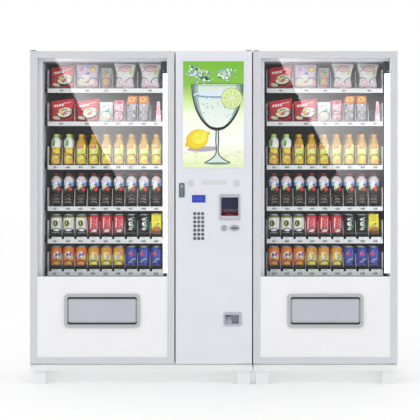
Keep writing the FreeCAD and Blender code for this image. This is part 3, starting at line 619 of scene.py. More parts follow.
def bottle_body(shape, outline, bands, cap):
    """A moulded body in coloured bands, a ribbed cap and its neck ring. Returns the radius at a height."""
    line = curve(outline, 5)
    rings = [(0, line[0][1] + 3, mark(bands[0][1]))] + [(r, z, banded(bands, z + 0.5)) for r, z in line]
    shape.lathe(rings, 40)
    top, tint, ribs = line[-1][1], mark(cap), 60
    neck = [(14.2, top - 1), (16.6, top - 0.5), (16.6, top + 1), (14, top + 1.5)]
    shape.lathe([(r, z, tint) for r, z in neck], 32)
    points = []
    for level, radius in ((top + 1.5, 14.4), (top + 13, 14.0)):
        for step in range(ribs):
            angle, reach = 2 * math.pi * step / ribs, radius + step % 2 * 0.5
            points.append((reach * math.cos(angle), reach * math.sin(angle), level))
    shape.add(points, loft(2, ribs), tint)
    shape.lathe([(14.2, top + 13, tint), (12.8, top + 14.6, tint), (0, top + 14.6, tint)], 32)
    radii = sorted((z, r) for r, z in line)

    def radius(z):
        below = [pair for pair in radii if pair[0] <= z] or radii[:1]
        above = [pair for pair in radii if pair[0] > z] or radii[-1:]
        (z0, r0), (z1, r1) = below[-1], above[0]
        return r0 if z1 == z0 else r0 + (r1 - r0) * (z - z0) / (z1 - z0)
    return radius


def citrus(shape, where, u, v, size, rind):
    """A slice of fruit: rind, pith and eight segments."""
    layers = [where, raised(where, 0.15), raised(where, 0.3)]
    pith = size * 0.9
    shape.prints(layers, [(0, rind, oval(u, v, size, size)), (1, "lemon", oval(u, v, pith, pith))])
    for piece in range(8):
        middle = math.pi * (piece + 0.5) / 4
        outline = [(u + size * 0.1 * math.cos(middle), v + size * 0.1 * math.sin(middle))]
        outline += [(u + size * 0.8 * math.cos(middle + a), v + size * 0.8 * math.sin(middle + a))
                    for a in (-0.30, -0.15, 0.0, 0.15, 0.30)]
        shape.patch(outline, layers[2], mark("honey"), 2)


def tea_bottle():
    shape = Shape()
    outline = [(25, 0), (29, 3), (30.4, 10), (30.4, 50), (29.4, 60), (27.6, 70), (27.4, 84), (28.2, 92),
               (28.2, 112), (27.4, 120), (22.5, 138), (16, 152), (12.8, 159), (12.6, 163)]
    radius = bottle_body(shape, outline, [(4, "tea"), (62, "yellow"), (116, "lemon"), (999, "tea")], "amber")
    layers = round_layers(radius)
    shape.prints(layers, [(0, "red", bar(-4, 103, 20, 10, 0.12))])
    shape.prints(layers, [(1, "white", oval(u, 103, 2.3, high, 12), 2)
                          for u, high in ((-17, 5.0), (-10, 3.6), (-3, 4.6), (4, 3.4))])
    shape.prints(layers, [(0, "lime", bar(12, 78, 6, 12, -0.5, 2)),
                          (0, "cream", oval(-9, 79, 8, 11, 20, 0.5))])
    citrus(shape, layers[0], 0, 32, 26, "gold")
    shape.prints(layers, [(1, "gold", oval(9, 20, 13, 10, 20, 0.5)),
                          (1, "olive", oval(20, 60, 8, 4.5, 16, 0.7))])
    return shape


def juice_bottle():
    shape = Shape()
    outline = [(25, 0), (29, 3), (30.4, 12), (29.8, 50), (26.5, 64), (24.4, 80), (25.6, 94), (28.4, 108),
               (28.8, 128), (26, 143), (18, 154), (12.8, 160), (12.6, 164)]
    radius = bottle_body(shape, outline, [(98, "juice"), (158, "white"), (999, "lime")], "lime")
    layers = round_layers(radius)
    shape.prints(layers, [
        (0, "green", bar(-15, 127, 11, 19, -0.12)), (1, "lime", bar(-20, 128, 3, 16, -0.12)),
        (0, "yellow", oval(12, 78, 15, 14, 20)), (0, "lemon", oval(-12, 84, 8, 14, 20, 0.4))])
    citrus(shape, layers[0], -2, 34, 27, "amber")
    shape.prints(layers, [(2, "gold", oval(4, 26, 14, 11, 20, 0.4)), (0, "orange", bar(22, 46, 6, 20, 0.2))])
    return shape


def cola_bottle():
    shape = Shape()
    outline = [(24, 0), (28.6, 3), (30, 12), (28.8, 34), (26.2, 52), (27.2, 70), (29, 84), (29.6, 100),
               (29.6, 138), (28.4, 150), (24, 160), (16.8, 168), (12.8, 173), (12.6, 176)]
    bands = [(76, "cola"), (108, "black"), (136, "sky"), (172, "white"), (999, "cola")]
    radius = bottle_body(shape, outline, bands, "crimson")
    layers = round_layers(radius)
    shape.prints(layers, [
        (0, "red", oval(14, 97, 12, 12)), (0, "cream", oval(-13, 104, 10, 15, 20, -0.3)),
        (1, "green", oval(-13, 96, 6, 8, 16)), (0, "white", oval(-6, 128, 17, 9, 24, 0.3)),
        (1, "blue", oval(14, 124, 10, 6, 20, -0.3)), (0, "rose", oval(-12, 152, 5, 5, 16), 2),
        (0, "rose", oval(2, 157, 4.4, 4.4, 16), 2), (0, "rose", oval(13, 149, 5, 5, 16), 2),
        (0, "lilac", oval(5, 143, 14, 4, 20, -0.1)), (1, "lemon", oval(2, 112, 7, 6, 18, 0.4))])
    flute_layer = on_cylinder(radius, 0.2)
    for flute in range(12):
        angle = 2 * math.pi * flute / 12
        around = lambda u, v: flute_layer((angle + u / 24) * radius(v), v)
        shape.patch(bar(0, 40, 1.1, 26, 0, 3, 6), around, mark("brown"), 2)
    # Painted highlights: three pale grey arcs on the dark lower body stand for reflections.
    for v, wide in ((58, 16), (40, 20), (22, 22)):
        line = [(step * wide / 8, v - 9 * (step / 8) ** 2, 1) for step in range(-8, 9)]
        shape.stroke(*band(line, 3.4), layers[0], mark("grey"))
    return shape


# ---------------------------------------------------------------- stock: cans and cartons

CAN_RADIUS = 33
CAN_LAYERS = round_layers(CAN_RADIUS)


def can(bands):
    """A drawn can: domed foot, printed wall in bands, neck, seam and a lid with its tab."""
    shape = Shape()
    metal = mark("metal")
    wall = curve([(29, 3), (32.4, 7), (33, 12)], 3) + [(CAN_RADIUS, z) for z in range(14, 100, 4)]
    wall += curve([(33, 100), (32, 105), (28.5, 111), (27, 113)], 3)
    foot = [(0, 6), (16, 4), (23, 0), (25, 0)]
    lid = [(26.6, 113.4), (27.6, 114.4), (27.6, 116), (26.4, 116), (25.8, 112), (24, 112.4), (0, 112.6)]
    rings = [(r, z, metal) for r, z in foot] + [(r, z, banded(bands, z + 0.3)) for r, z in wall]
    shape.lathe(rings + [(r, z, metal) for r, z in lid], 40)
    shape.ring(oval(0, 6, 7, 10, 20), oval(0, 4, 3.5, 4, 20), lambda u, v: (u, v, 113.6), metal)
    return shape


def emblem_can():
    shape = can([(10, "metal"), (24, "black"), (98, "ivory"), (112, "olive"), (999, "metal")])
    shape.prints(CAN_LAYERS, [
        (0, "olive", oval(-8, 64, 17, 19, 24)), (1, "black", oval(-9, 64, 11, 14, 20)),
        (2, "lemon", bar(-10, 64, 2.4, 9)), (0, "white", oval(0, 31, 25, 14)),
        (0, "lilac", bar(19, 68, 3.0, 24)), (0, "black", bar(0, 99, 26, 1.6))])
    return shape


def berry_can():
    shape = can([(9, "metal"), (106, "red"), (112, "deep_red"), (999, "metal")])
    shape.prints(CAN_LAYERS, [(0, "white", bar(-21, 62, 3.5, 36, 0.0, 3, 6)),
                              (0, "pink", bar(20, 60, 3.0, 34, 0.0, -3, 6))])
    bubbles = [(-6, 26, 7), (6, 34, 5), (-2, 46, 4), (8, 58, 5.5), (-5, 66, 3.4), (4, 78, 4.4), (-6, 88, 3)]
    for u, v, size in bubbles:
        hole = size * 0.55
        shape.ring(oval(u, v, size, size, 18), oval(u, v, hole, hole, 18), CAN_LAYERS[1], mark("pink"))
    shape.prints(CAN_LAYERS, [(0, "white", oval(2, 20, 19, 7, 20, 0.25))])
    return shape


def night_can():
    shape = can([(9, "metal"), (112, "black"), (999, "metal")])
    shape.prints(CAN_LAYERS, [
        (0, "white", oval(-7, 88, 11, 7, 22, 0.3)), (0, "grey", oval(8, 80, 8, 6, 22, 0.3)),
        (0, "white", oval(-4, 60, 13, 13, 22, 0.3)), (0, "green", oval(9, 46, 10, 9, 22, 0.3)),
        (0, "ivory", oval(-4, 33, 14, 9, 22, 0.3)), (0, "grey", oval(10, 98, 9, 4, 22, 0.3)),
        (1, "black", oval(0, 61, 5, 6)), (1, "black", oval(-6, 89, 4, 3)), (0, "teal", bar(24, 60, 1.4, 38))])
    return shape


def citrus_can(top, low, accent, spots):
    """A can with a pale wave and (across, up, half width, half height, turn, colour) spots."""
    shape = can([(9, "metal"), (60, low), (112, top), (999, "metal")])
    line = [(-30 + 5 * step, 46 + 44 * math.sin(0.24 * step) - 1.2 * step, 1) for step in range(13)]
    shape.stroke(*band(line, 13), CAN_LAYERS[0], mark(accent))
    shape.prints(CAN_LAYERS, [(1, colour, oval(u, v, wide, high, 18, turn), 2)
                              for u, v, wide, high, turn, colour in spots])
    shape.prints(CAN_LAYERS, [(1, "lemon" if top != low else "amber", oval(-2, 20, 23, 9, 24, 0.1))])
    return shape


def orange_can():
    return citrus_can("orange", "orange", "cream", [
        (-14, 58, 9, 10, 0.7, "lilac"), (-6, 66, 6, 13, -0.5, "blue"), (14, 72, 6, 14, -0.3, "violet"),
        (4, 58, 8, 7, 0.3, "white"), (14, 50, 10, 6, 0.6, "lime"), (-18, 72, 5, 6, 0.0, "white")])


def sunny_can():
    return citrus_can("amber", "honey", "lemon", [
        (-12, 62, 8, 22, 0.2, "cream"), (6, 92, 10, 9, -0.2, "orange"), (2, 50, 4, 11, -0.8, "teal"),
        (10, 60, 4, 10, -0.8, "sky"), (-4, 42, 11, 5, 0.2, "lemon"), (18, 80, 8, 13, 0.2, "rose")])


def cherry_can():
    """A deep blue can with two cherries and a pale wave, a print of its own."""
    shape = can([(9, "metal"), (112, "blue"), (999, "metal")])
    shape.prints(CAN_LAYERS, [
        (0, "violet", oval(-4, 72, 17, 15)), (1, "red", oval(-10, 74, 8.5, 9)),
        (1, "deep_red", oval(4, 66, 7, 7.5)), (2, "white", oval(-13, 78, 2.4, 3.2, 14), 2),
        (2, "pink", oval(2, 69, 2.0, 2.4, 14), 2), (1, "lime", bar(-3, 88, 1.0, 8, -0.5), 2),
        (0, "sky", oval(6, 40, 22, 4.5, 28, 0.35)), (0, "lilac", oval(-6, 28, 18, 3, 28, 0.35)),
        (0, "sky", bar(23, 62, 1.2, 36))])
    return shape


def carton():
    """A drink carton with folded top seam and a fruit picture."""
    shape = Shape()
    wide, deep, high = 29, 20, 118
    shape.block((-wide, -deep, 0), (wide, deep, high), 1.6, mark("sun"))
    shape.block((-wide + 2, -1, high - 1), (wide - 2, 1, high + 3), 0.5, mark("lemon"))
    layers = [lambda u, v: (u, -deep - 0.2, v), lambda u, v: (u, -deep - 0.5, v)]
    shape.prints(layers, [
        (0, "brown", bar(0, 12, 28, 10.5)), (0, "orange", oval(0, 33, 23, 18)),
        (1, "gold", oval(-3, 38, 15, 9)), (0, "green", oval(9, 60, 10, 5, 18, 0.6)),
        (0, "lime", oval(-8, 56, 8, 4, 18, -0.5)),
        (0, "amber", bar(0, 96, 17, 1.6), 2), (0, "amber", bar(0, 88, 12, 1.6), 2),
        (0, "amber", bar(0, 80, 15, 1.6), 2)])
    return shape


# ---------------------------------------------------------------- stock: packs

def pouch(shape, wide, high, thick, colours, seed, taper=0.0, slim=0.05, slant=0.0, lifts=(0.5, 0.9, 1.3)):
    """A filled pouch with crimped ends. Returns the layers that its print goes on.

    colours are (share of the height, ink) bands from the bottom.
    """
    draw = random.Random(seed)
    creases = [(draw.uniform(-0.9, 0.9), draw.uniform(0.6, 1.6), draw.uniform(0, 6.3)) for _ in range(7)]
    seal = 8

    def body(u, v, side):
        s = max(-1.0, min(1.0, u / (wide / 2)))
        t = (v - high / 2) / (high / 2 - seal)
        full = (max(0.0, 1 - s * s) ** 0.5) * (max(0.0, 1 - min(1.0, abs(t)) ** 2.6) ** 0.6)
        near_end = min(1.0, abs(t)) ** 3
        crease = sum(math.sin(10 * slope * (s - at) + phase + 3 * t) for at, slope, phase in creases) / 7
        bulge = thick / 2 * full * (1 + 0.10 * crease) + 1.6 * near_end * crease * (1 - s * s)
        waist = 1 - slim * (1 - min(1.0, abs(t)) ** 2) + taper * (v / high - 0.5)
        ripple = 0.5 * math.sin(u / 1.6) if abs(t) > 1 else 0
        rise = (slant * u / wide + 0.012 * crease) * v / high
        return (u * waist, side * max(0.35, bulge) + ripple, v * (1 + rise))

    across, up = 20, 30
    for side in (-1, 1):
        for j in range(up):
            name = next(colour for top, colour in colours if (j + 0.5) / up <= top)
            shape.grid(across, 1, lambda a, b: body((a - 0.5) * wide, high * (j + b) / up, side), mark(name),
                       flip=side > 0)
    for edge in (-1, 1):
        shape.grid(1, up, lambda a, b: body(edge * wide / 2, high * b, 1 if (a > 0.5) == (edge > 0) else -1),
                   mark(colours[0][1]))
    for level in (0, high):
        shape.grid(across, 1, lambda a, b: body((a - 0.5) * wide, level, 2 * b - 1), mark(colours[-1][1]),
                   flip=level > 0)
    return [raised(lambda u, v: body(u, v, -1), lift) for lift in lifts]


def noodle_pack():
    shape = Shape()
    layers = pouch(shape, 136, 124, 34, [(0.06, "deep_red"), (1, "red")], 1, slim=0.08, slant=0.16)
    shape.prints(layers, [
        (0, "black", oval(14, 44, 51, 32, 32, 0.16), 5), (1, "cream", oval(15, 49, 46, 27, 32, 0.16), 5),
        (2, "honey", oval(-8, 52, 13, 9, 20, 0.2)), (2, "rose", oval(18, 44, 14, 10, 20, 0.2)),
        (2, "white", oval(36, 56, 12, 10, 20, 0.2)), (2, "green", oval(4, 64, 12, 5, 20, 0.2)),
        (2, "olive", oval(24, 66, 10, 4, 20, 0.2)), (2, "white", oval(-20, 42, 10, 7, 20, 0.2)),
        (2, "amber", oval(2, 40, 9, 5, 20, 0.2)), (1, "deep_red", oval(-43, 56, 21, 22), 4),
        (2, "red", oval(-43, 56, 17, 18)), (1, "cream", oval(-36, 17, 22, 10, 24, -0.2))])
    shape.prints(layers, [(1, "white", bar(u, 94 + u * 0.05, 6, 7, 0.12), 2) for u in (-46, -30, -14, 2)])
    shape.prints(layers, [(1, "pink", bar(26, 104, 26, 3, 0.1), 2)])
    return shape


def pastel_pack():
    shape = Shape()
    layers = pouch(shape, 128, 138, 36, [(0.08, "grey"), (0.34, "pink"), (1, "lilac")], 2)
    shape.prints(layers, [
        (0, "cream", oval(-4, 36, 50, 22, 32, 0.06), 5), (0, "white", oval(-16, 60, 30, 15, 28, 0.3), 4),
        (0, "gold", oval(36, 108, 20, 18), 4), (1, "yellow", oval(36, 108, 11, 10, 22)),
        (1, "rose", oval(-36, 106, 14, 8, 20, 0.3)), (1, "white", oval(-12, 110, 9, 7, 20, 0.3)),
        (1, "pink", oval(-30, 88, 10, 6, 20, 0.3)), (1, "violet", oval(6, 84, 12, 7, 20, 0.3)),
        (1, "pink", oval(24, 60, 13, 8, 20, 0.3)), (1, "rose", oval(-2, 34, 13, 8, 20, 0.3)),
        (1, "lime", oval(-28, 34, 10, 7, 20, 0.3)), (1, "white", oval(22, 36, 12, 7, 20, 0.3))])
    return shape


def crisp_bag():
    shape = Shape()
    layers = pouch(shape, 118, 142, 40, [(0.05, "pink"), (1, "white")], 3, taper=0.16, slim=0.15, slant=-0.04)
    shape.ring(oval(4, 113, 36, 18, 36, 0.08), oval(4, 113, 32, 14.5, 36, 0.08), layers[0], mark("red"))
    shape.prints(layers, [(0, "rose", oval(u, 113, 3.6, 5.5, 16), 2) for u in (-13, -2, 9, 20)])
    shape.prints(layers, [
        (0, "rose", bar(-36, 104, 3, 15, -0.7), 2), (0, "lime", oval(40, 92, 9, 17, 20, -0.2)),
        (0, "cream", oval(10, 88, 22, 9, 22, 0.2))])
    for u, v, size in ((-26, 34, 18), (24, 36, 18), (-2, 24, 14)):
        shape.prints(layers, [(1, "pink", oval(u, v, size, size * 0.8, 24)),
                              (2, "white", oval(u + 2, v, size * 0.62, size * 0.5, 20))])
    shape.prints(layers, [(0, "grey", bar(-38, 122, 8, 2.2), 2)])
    return shape


def slim_pack(seed, bands, spots, wide=62, high=120, thick=24, taper=0.0):
    """A pouch with (across, up, half width, half height, turn, colour) spots."""
    shape = Shape()
    layers = pouch(shape, wide, high, thick, bands, seed, taper, lifts=(0.8,))
    shape.prints(layers, [(0, colour, oval(u, v, reach, tall, 20, turn))
                          for u, v, reach, tall, turn, colour in spots])
    return shape


def milk_pack():
    return slim_pack(11, [(1, "white")], [
        (8, 62, 16, 12, 0.5, "teal"), (2, 66, 9, 7, 0.5, "white"), (-14, 86, 12, 4, 0.2, "rose"),
        (-6, 28, 22, 18, 0.1, "cream"), (14, 92, 10, 4, -0.2, "sky")], 76, 112, 26)


def dotted_pack():
    draw = random.Random(5)
    spots = [(14 * (column - 1) + draw.uniform(-4, 4), 14 + 12 * row + draw.uniform(-3, 3),
              draw.uniform(3, 6), draw.uniform(4, 7), draw.uniform(-1, 1),
              draw.choice(("white", "white", "deep_red", "pink")))
             for row in range(7) for column in range(3)]
    return slim_pack(12, [(0.82, "pink"), (1, "rose")], spots + [(6, 108, 14, 7, 0.2, "red")], 58, 122)


def biscuit_pack():
    return slim_pack(13, [(0.10, "rose"), (0.55, "grey"), (1, "film")], [
        (-4, 44, 13, 30, -0.15, "gold"), (-4, 44, 8, 22, -0.15, "amber"), (-16, 96, 9, 8, 0.3, "orange"),
        (6, 90, 12, 9, 0.2, "green"), (-8, 78, 9, 7, 0.1, "grey"), (16, 64, 6, 26, 0.1, "rose"),
        (14, 104, 9, 6, 0.0, "lilac")], 64, 118, 26)


def upright_sachet():
    """A slim wrapper, narrow at its top, that leans on the coil."""
    spots = [(0, 66, 5, 30, 0.0, "rose"), (0, 24, 6, 10, 0.0, "white")]
    return slim_pack(14, [(1, "pink")], spots, 24, 118, 4, -0.7)


def toy_pack(seed, lean):
    """A clear pouch of wrapped sweets under a folded card that leans sideways."""
    shape = Shape()
    layers = pouch(shape, 58, 112, 26, [(1, "film")], seed, lifts=(0.8,))
    draw = random.Random(seed + 1)
    for row in range(5):
        for column in range(3):
            u, v = -17 + 17 * column + draw.uniform(-3, 3), 16 + 19 * row + draw.uniform(-3, 3)
            colour = draw.choice(["pink", "grey", "white", "black", "lilac", "grey", "grey"])
            shape.prints(layers, [(0, colour, oval(u, v, 7.5, 6, 16, draw.uniform(-1, 1)), 2)])
    card = lambda u, v: (u + lean * (v - 100), -4, v)
    back = lambda u, v: (u + lean * (v - 100), 4, v)
    shape.grid(6, 6, lambda a, b: card((a - 0.5) * 56, 104 + 44 * b), mark("orange"))
    shape.grid(6, 6, lambda a, b: back((a - 0.5) * 56, 104 + 44 * b), mark("orange"), flip=True)
    shape.grid(6, 1, lambda a, b: (card if b < 0.5 else back)((a - 0.5) * 56, 148), mark("gold"))
    shape.prints([raised(card, 0.3), raised(card, 0.6)], [
        (0, "honey", oval(-2, 128, 21, 13, 24, 0.2)), (1, "red", oval(-4, 127, 10, 5, 20, 0.2))])
    return shape


# ---------------------------------------------------------------- stock on the shelves

COIL_LIFT = centre(*SPIRAL["left"])[1] - LEVELS[1]
COIL_FRONT = SPIRAL["left"][0].y
COIL_RADIUS = 30
WIRE = 2.2
COIL_PITCHES = [62, 62, 66, 66, 70, 70]
COIL_DEPTH = 434
CAN_LEVELS = (4, 5)
RISER_HIGH = 27.5
STAND = 6.5
REAR_ITEMS = 3
BUILDERS = {
    "noodle": noodle_pack, "pastel": pastel_pack, "biscuit": biscuit_pack, "crisps": crisp_bag,
    "milk": milk_pack, "dotted": dotted_pack,
    "sweets_a": lambda: toy_pack(21, 0.20), "sweets_b": lambda: toy_pack(22, -0.04),
    "juice": juice_bottle, "tea": tea_bottle, "cola": cola_bottle, "emblem_can": emblem_can,
    "berry_can": berry_can, "night_can": night_can, "carton": carton, "orange_can": orange_can,
    "sunny_can": sunny_can, "cherry_can": cherry_can, "sachet": upright_sachet,
}
PACK_GAP = {"noodle": 59.8, "pastel": 59.8, "biscuit": 59.8, "crisps": 65, "milk": 52, "dotted": 52,
            "sweets_a": 52, "sweets_b": 52}
BOTTLE_GAP = 66
CAN_GAP = 70
STOCK = [
    ["noodle", "pastel", "biscuit", "crisps", "crisps"],
    ["noodle", "noodle", "milk", "dotted", "sweets_a", "sweets_b", None],
    2 * ["juice"] + 7 * ["tea"],
    9 * ["cola"],
    3 * ["emblem_can"] + 3 * ["berry_can"] + 2 * ["night_can"] + ["carton"],
    3 * ["orange_can"] + 3 * ["sunny_can"] + 3 * ["cherry_can"],
]
FIRST_ITEM = [46, 46, 51, 51, 55, 55]
DRAWN = {}


def drawn(kind):
    """The shared mesh of one kind of stock."""
    if kind not in DRAWN:
        DRAWN[kind] = BUILDERS[kind]().mesh(kind, list(INK.values()))
    return DRAWN[kind]


def lanes(side, level):
    """Each lane of a tray: its middle, and the X of the coils that it spans."""
    position = 0
    for wide in LANES[level]:
        places = [lane_x(side, position + step) for step in range(wide)]
        yield (places[0] + places[-1]) / 2, places
        position += wide


def joined(meshes):
    """One mesh from several placed copies: (mesh, matrix) pairs."""
    whole = bmesh.new()
    finishes = []
    for mesh, matrix in meshes:
        copy = mesh.copy()
        copy.transform(matrix)
        finishes += [finish for finish in copy.materials if finish not in finishes]
        places = [finishes.index(finish) for finish in copy.materials]
        for face in copy.polygons:
            face.material_index = places[face.material_index]
        whole.from_mesh(copy)
        bpy.data.meshes.remove(copy)
    made = bpy.data.meshes.new("stock_behind")
    whole.to_mesh(made)
    whole.free()
    for finish in finishes:
        made.materials.append(finish)
    return made


def fill_shelves():
    """The front item of every lane as its own piece, and the ones behind it joined row by row."""
    draw = random.Random(7)
    for side in SIDES:
        for level, z in enumerate(LEVELS):
            base = z + (RISER_HIGH + 0.5 if level in CAN_LEVELS else STAND)
            rear = {row: [] for row in range(1, REAR_ITEMS + 1)}
            for number, ((middle, _), kind) in enumerate(zip(lanes(side, level), STOCK[level])):
                if kind is None:
                    continue
                gap = PACK_GAP.get(kind, CAN_GAP if level in CAN_LEVELS else BOTTLE_GAP)
                swing = 0.03 if kind in PACK_GAP else 0.22
                mesh = drawn(kind)
                for row in range(REAR_ITEMS + 1):
                    at = (middle + draw.uniform(-1.0, 1.0), COIL_FRONT + FIRST_ITEM[level] + row * gap, base)
                    turn = draw.uniform(-swing, swing)
                    if row == 0:
                        name = f"stock_{side}_{level + 1}_{number + 1}"
                        put(mesh, name, "cabinet", at, turn)
                    else:
                        rear[row].append((mesh, spot(at, turn)))
            for row, items in rear.items():
                put(joined(items), f"stock_behind_{side}_{level + 1}_{row}", "cabinet")
        at = (lane_x(side, COIL_POSITIONS - 1) + 14, COIL_FRONT - 6, LEVELS[1] + 1)
        put(drawn("sachet"), f"stock_{side}_2_7", "cabinet", at)


# ---------------------------------------------------------------- coils, risers and shelf edges

def coil_path(y, pitch, start=math.pi, steps=28):
    """A helix about Y from its front turn to the drive plate."""
    path = []
    for step in range(int(COIL_DEPTH / pitch) * steps + 1):
        angle = start - 2 * math.pi * step / steps
        x, z = COIL_RADIUS * math.cos(angle), COIL_RADIUS * math.sin(angle)
        path.append(Vector((x, y + pitch * step / steps, z)))
    return path


def wind(shape, path, x, z):
    """A coil of round wire at (x, z), with the disc that holds its tail and its shaft to the motor."""
    shape.tube([point + Vector((x, 0, z)) for point in path], WIRE)
    tail = path[-1].y + WIRE
    motor = box("vend_motors")[0].y
    for radius, start, end in ((26, tail, tail + 4), (7, tail + 4, motor - 1)):
        shape.lathe_y([(0, start), (radius - 0.8, start), (radius, start + 0.8), (radius, end - 0.8),
                       (radius - 0.8, end), (0, end)], (x, z), 20)


def wind_coils():
    """The still coils of every tray. In a pair the left coil winds the other way."""
    for side in SIDES:
        for level, z in enumerate(LEVELS):
            shape = Shape()
            for number, (_, places) in enumerate(lanes(side, level)):
                if (level, number) == (1, len(LANES[1]) - 1):
                    continue
                for index, x in enumerate(places):
                    flip = len(places) == 2 and index == 0
                    path = coil_path(COIL_FRONT, COIL_PITCHES[level], 0.75 * math.pi if flip else math.pi)
                    if flip:
                        path = [Vector((-point.x, point.y, point.z)) for point in path]
                    wind(shape, path, x, z + COIL_LIFT)
            shape.place(f"coils_{side}_{level + 1}", "cabinet", "coil_wire", "wire")


def turning_coils():
    """Round-wire coils that stand for the two coils that turn."""
    for side, body in (("left", "spiral_main"), ("right", "spiral_side")):
        shape = Shape()
        wind(shape, coil_path(COIL_FRONT + WIRE, 62, 0.0), *centre(*SPIRAL[side]))
        piece = shape.place(f"turning_coil_{side}", body, "coil_wire", "wire")
        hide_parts(body)


def shelf_edges():
    """Lane numbers on the price rail, its black ends, and the stands that lift cans over their coils."""
    for side in SIDES:
        for level, z in enumerate(LEVELS):
            tags = Shape()
            face, mid = RAIL_FACE, z - 13
            for number, (x, _) in enumerate(lanes(side, level)):
                tags.block((x - 17, face - 0.8, mid - 9), (x + 17, face + 0.1, mid + 9), 0.3, 0, 1)
                place = lambda u, v: (x + u, face - 1.0, mid + v)
                for shift, digit in ((-9, level + 1), (0, 0), (9, number + 1)):
                    draw_digit(tags, digit, place, shift, 9.5, 1, 0.13)
            for end in (TRAY_LOW.x - 12, TRAY_LOW.x + TRAY_WIDE + 3):
                end += side_shift(side)
                tags.block((end, face + 1, mid - 14), (end + 9, face + 16, z + 22), 1, 1)
            tags.place(f"price_tags_{side}_{level + 1}", "cabinet", "price_white", "price", "black")
            if level in CAN_LEVELS:
                can_stands(side, level, z)


def can_stands(side, level, z):
    """Per lane a black step at the front, two rails above the coil and a pale lip."""
    stands, lips = Shape(), Shape()
    half = LANE_PITCH / 2 - 1.2
    front, rear = COIL_FRONT - 7, COIL_FRONT + COIL_DEPTH
    for x, _ in lanes(side, level):
        stands.block((x - half, front, z + 0.3), (x + half, front + 14, z + RISER_HIGH), 1.5)
        for rail in (x - 8.5, x + 8.5):
            stands.block((rail - 3, front + 13, z + 10.5), (rail + 3, rear, z + RISER_HIGH), 0.8)
        lips.block((x - half * 0.62, front - 3, z + 0.3), (x + half, front + 0.5, z + 12), 1.2)
        lips.block((x - half * 0.35, front - 3.6, z + 4.5), (x + half * 0.35, front - 2.8, z + 6), 0.3, 1, 1)
    stands.place(f"can_stands_{side}_{level + 1}", "cabinet", "runner_black", "black")
    lips.place(f"can_lips_{side}_{level + 1}", "cabinet", "tray_steel", "tray", "black")


SEGMENTS = ["abcdef", "bc", "abdeg", "abcdg", "bcfg", "acdfg", "acdefg", "abc", "abcdefg", "abcdfg"]


def draw_digit(shape, digit, where, u, high, mark=0, bold=0.08):
    """A plain seven-bar number."""
    half, thick, side = high / 2, high * bold, high * 0.28
    bars = {"a": (0, half, side, thick), "d": (0, -half, side, thick), "g": (0, 0, side, thick),
            "b": (side, half / 2, thick, half / 2), "f": (-side, half / 2, thick, half / 2),
            "c": (side, -half / 2, thick, half / 2), "e": (-side, -half / 2, thick, half / 2)}
    for segment in SEGMENTS[digit]:
        x, y, wide, tall = bars[segment]
        shape.patch(bar(u + x, y, wide, tall, steps=1), where, mark, 1)


# ---------------------------------------------------------------- the advert: a print of its own

ADVERT_INKS = {
    "bowl_line": (0.012, 0.016, 0.016), "stem": (0.66, 0.80, 0.76), "bowl_shade": (0.34, 0.47, 0.43),
    "bowl_deep": (0.15, 0.25, 0.23), "foam": (0.70, 0.80, 0.90), "wave": (0.22, 0.36, 0.50),
    "deep": (0.04, 0.12, 0.20), "rind": (0.42, 0.60, 0.05), "flesh": (0.60, 0.74, 0.22),
    "glint": (0.90, 0.91, 0.97), "shadow": (0.42, 0.38, 0.45), "warm": (0.84, 0.50, 0.02),
    "peel": (0.86, 0.68, 0.02), "light": (0.85, 0.80, 0.08), "ripple": (0.48, 0.58, 0.32),
    "ripple_dark": (0.26, 0.34, 0.16),
}
GROUND_STOPS = [(0.0, (0.72, 0.86, 0.42)), (0.13, (0.88, 0.94, 0.66)), (0.28, (0.95, 0.97, 0.92)),
                (0.52, (0.88, 0.95, 0.74)), (0.66, (0.60, 0.80, 0.28)), (0.80, (0.25, 0.53, 0.07)),
                (1.0, (0.20, 0.50, 0.05))]
BOWL_STOPS = [(0.0, (0.90, 0.94, 0.86)), (0.5, (0.82, 0.89, 0.82)), (0.8, (0.66, 0.77, 0.69)),
              (1.0, (0.40, 0.56, 0.46))]
ADVERT_MARK = {name: 2 + index for index, name in enumerate(ADVERT_INKS)}
GLASS_X, GLASS_RIM, GLASS_FOOT = 22, 172, -292


def make_advert():
    """A plain summer drink: a stemmed glass with bubbles and a citrus slice, and a lemon beside its foot."""
    low, high = box("advert_panel")
    middle_x, middle_z = centre(low, high)
    half_w, half_h = (high.x - low.x) / 2 - 2, (high.z - low.z) / 2 - 2
    art = Shape()
    draw = random.Random(31)

    def layer(step):
        """Print at this layer, cut off at the edge of the picture."""
        return lambda u, v: (middle_x + max(-half_w, min(half_w, u)), low.y - 0.2 - 0.1 * step,
                             middle_z + max(-half_h, min(half_h, v)))

    def disc(u, v, wide, tall, step, colour, turn=0.0, count=30):
        art.patch(oval(u, v, wide, tall, count, turn), layer(step), ADVERT_MARK[colour], 3)

    art.grid(4, 24, lambda a, b: layer(0)((a - 0.5) * 400, (b - 0.5) * 700), 0)
    advert_ripples(disc, draw)
    advert_lemon(disc)
    advert_glass(art, layer)
    advert_drink(disc, draw)
    finishes = [gradient("advert_ground", GROUND_STOPS), gradient("advert_bowl", BOWL_STOPS)]
    finishes += [ink("advert_" + name, colour) for name, colour in ADVERT_INKS.items()]
    put(art.mesh("advert_print", finishes), "advert_print", "centre_door")


def advert_ripples(disc, draw):
    """Flecks of light on the table."""
    for _ in range(46):
        disc(draw.uniform(-168, 168), draw.uniform(-298, -214), draw.uniform(6, 18), 1, 1,
             draw.choice(("ripple", "ripple", "ripple_dark")), draw.uniform(-0.25, 0.1), 14)


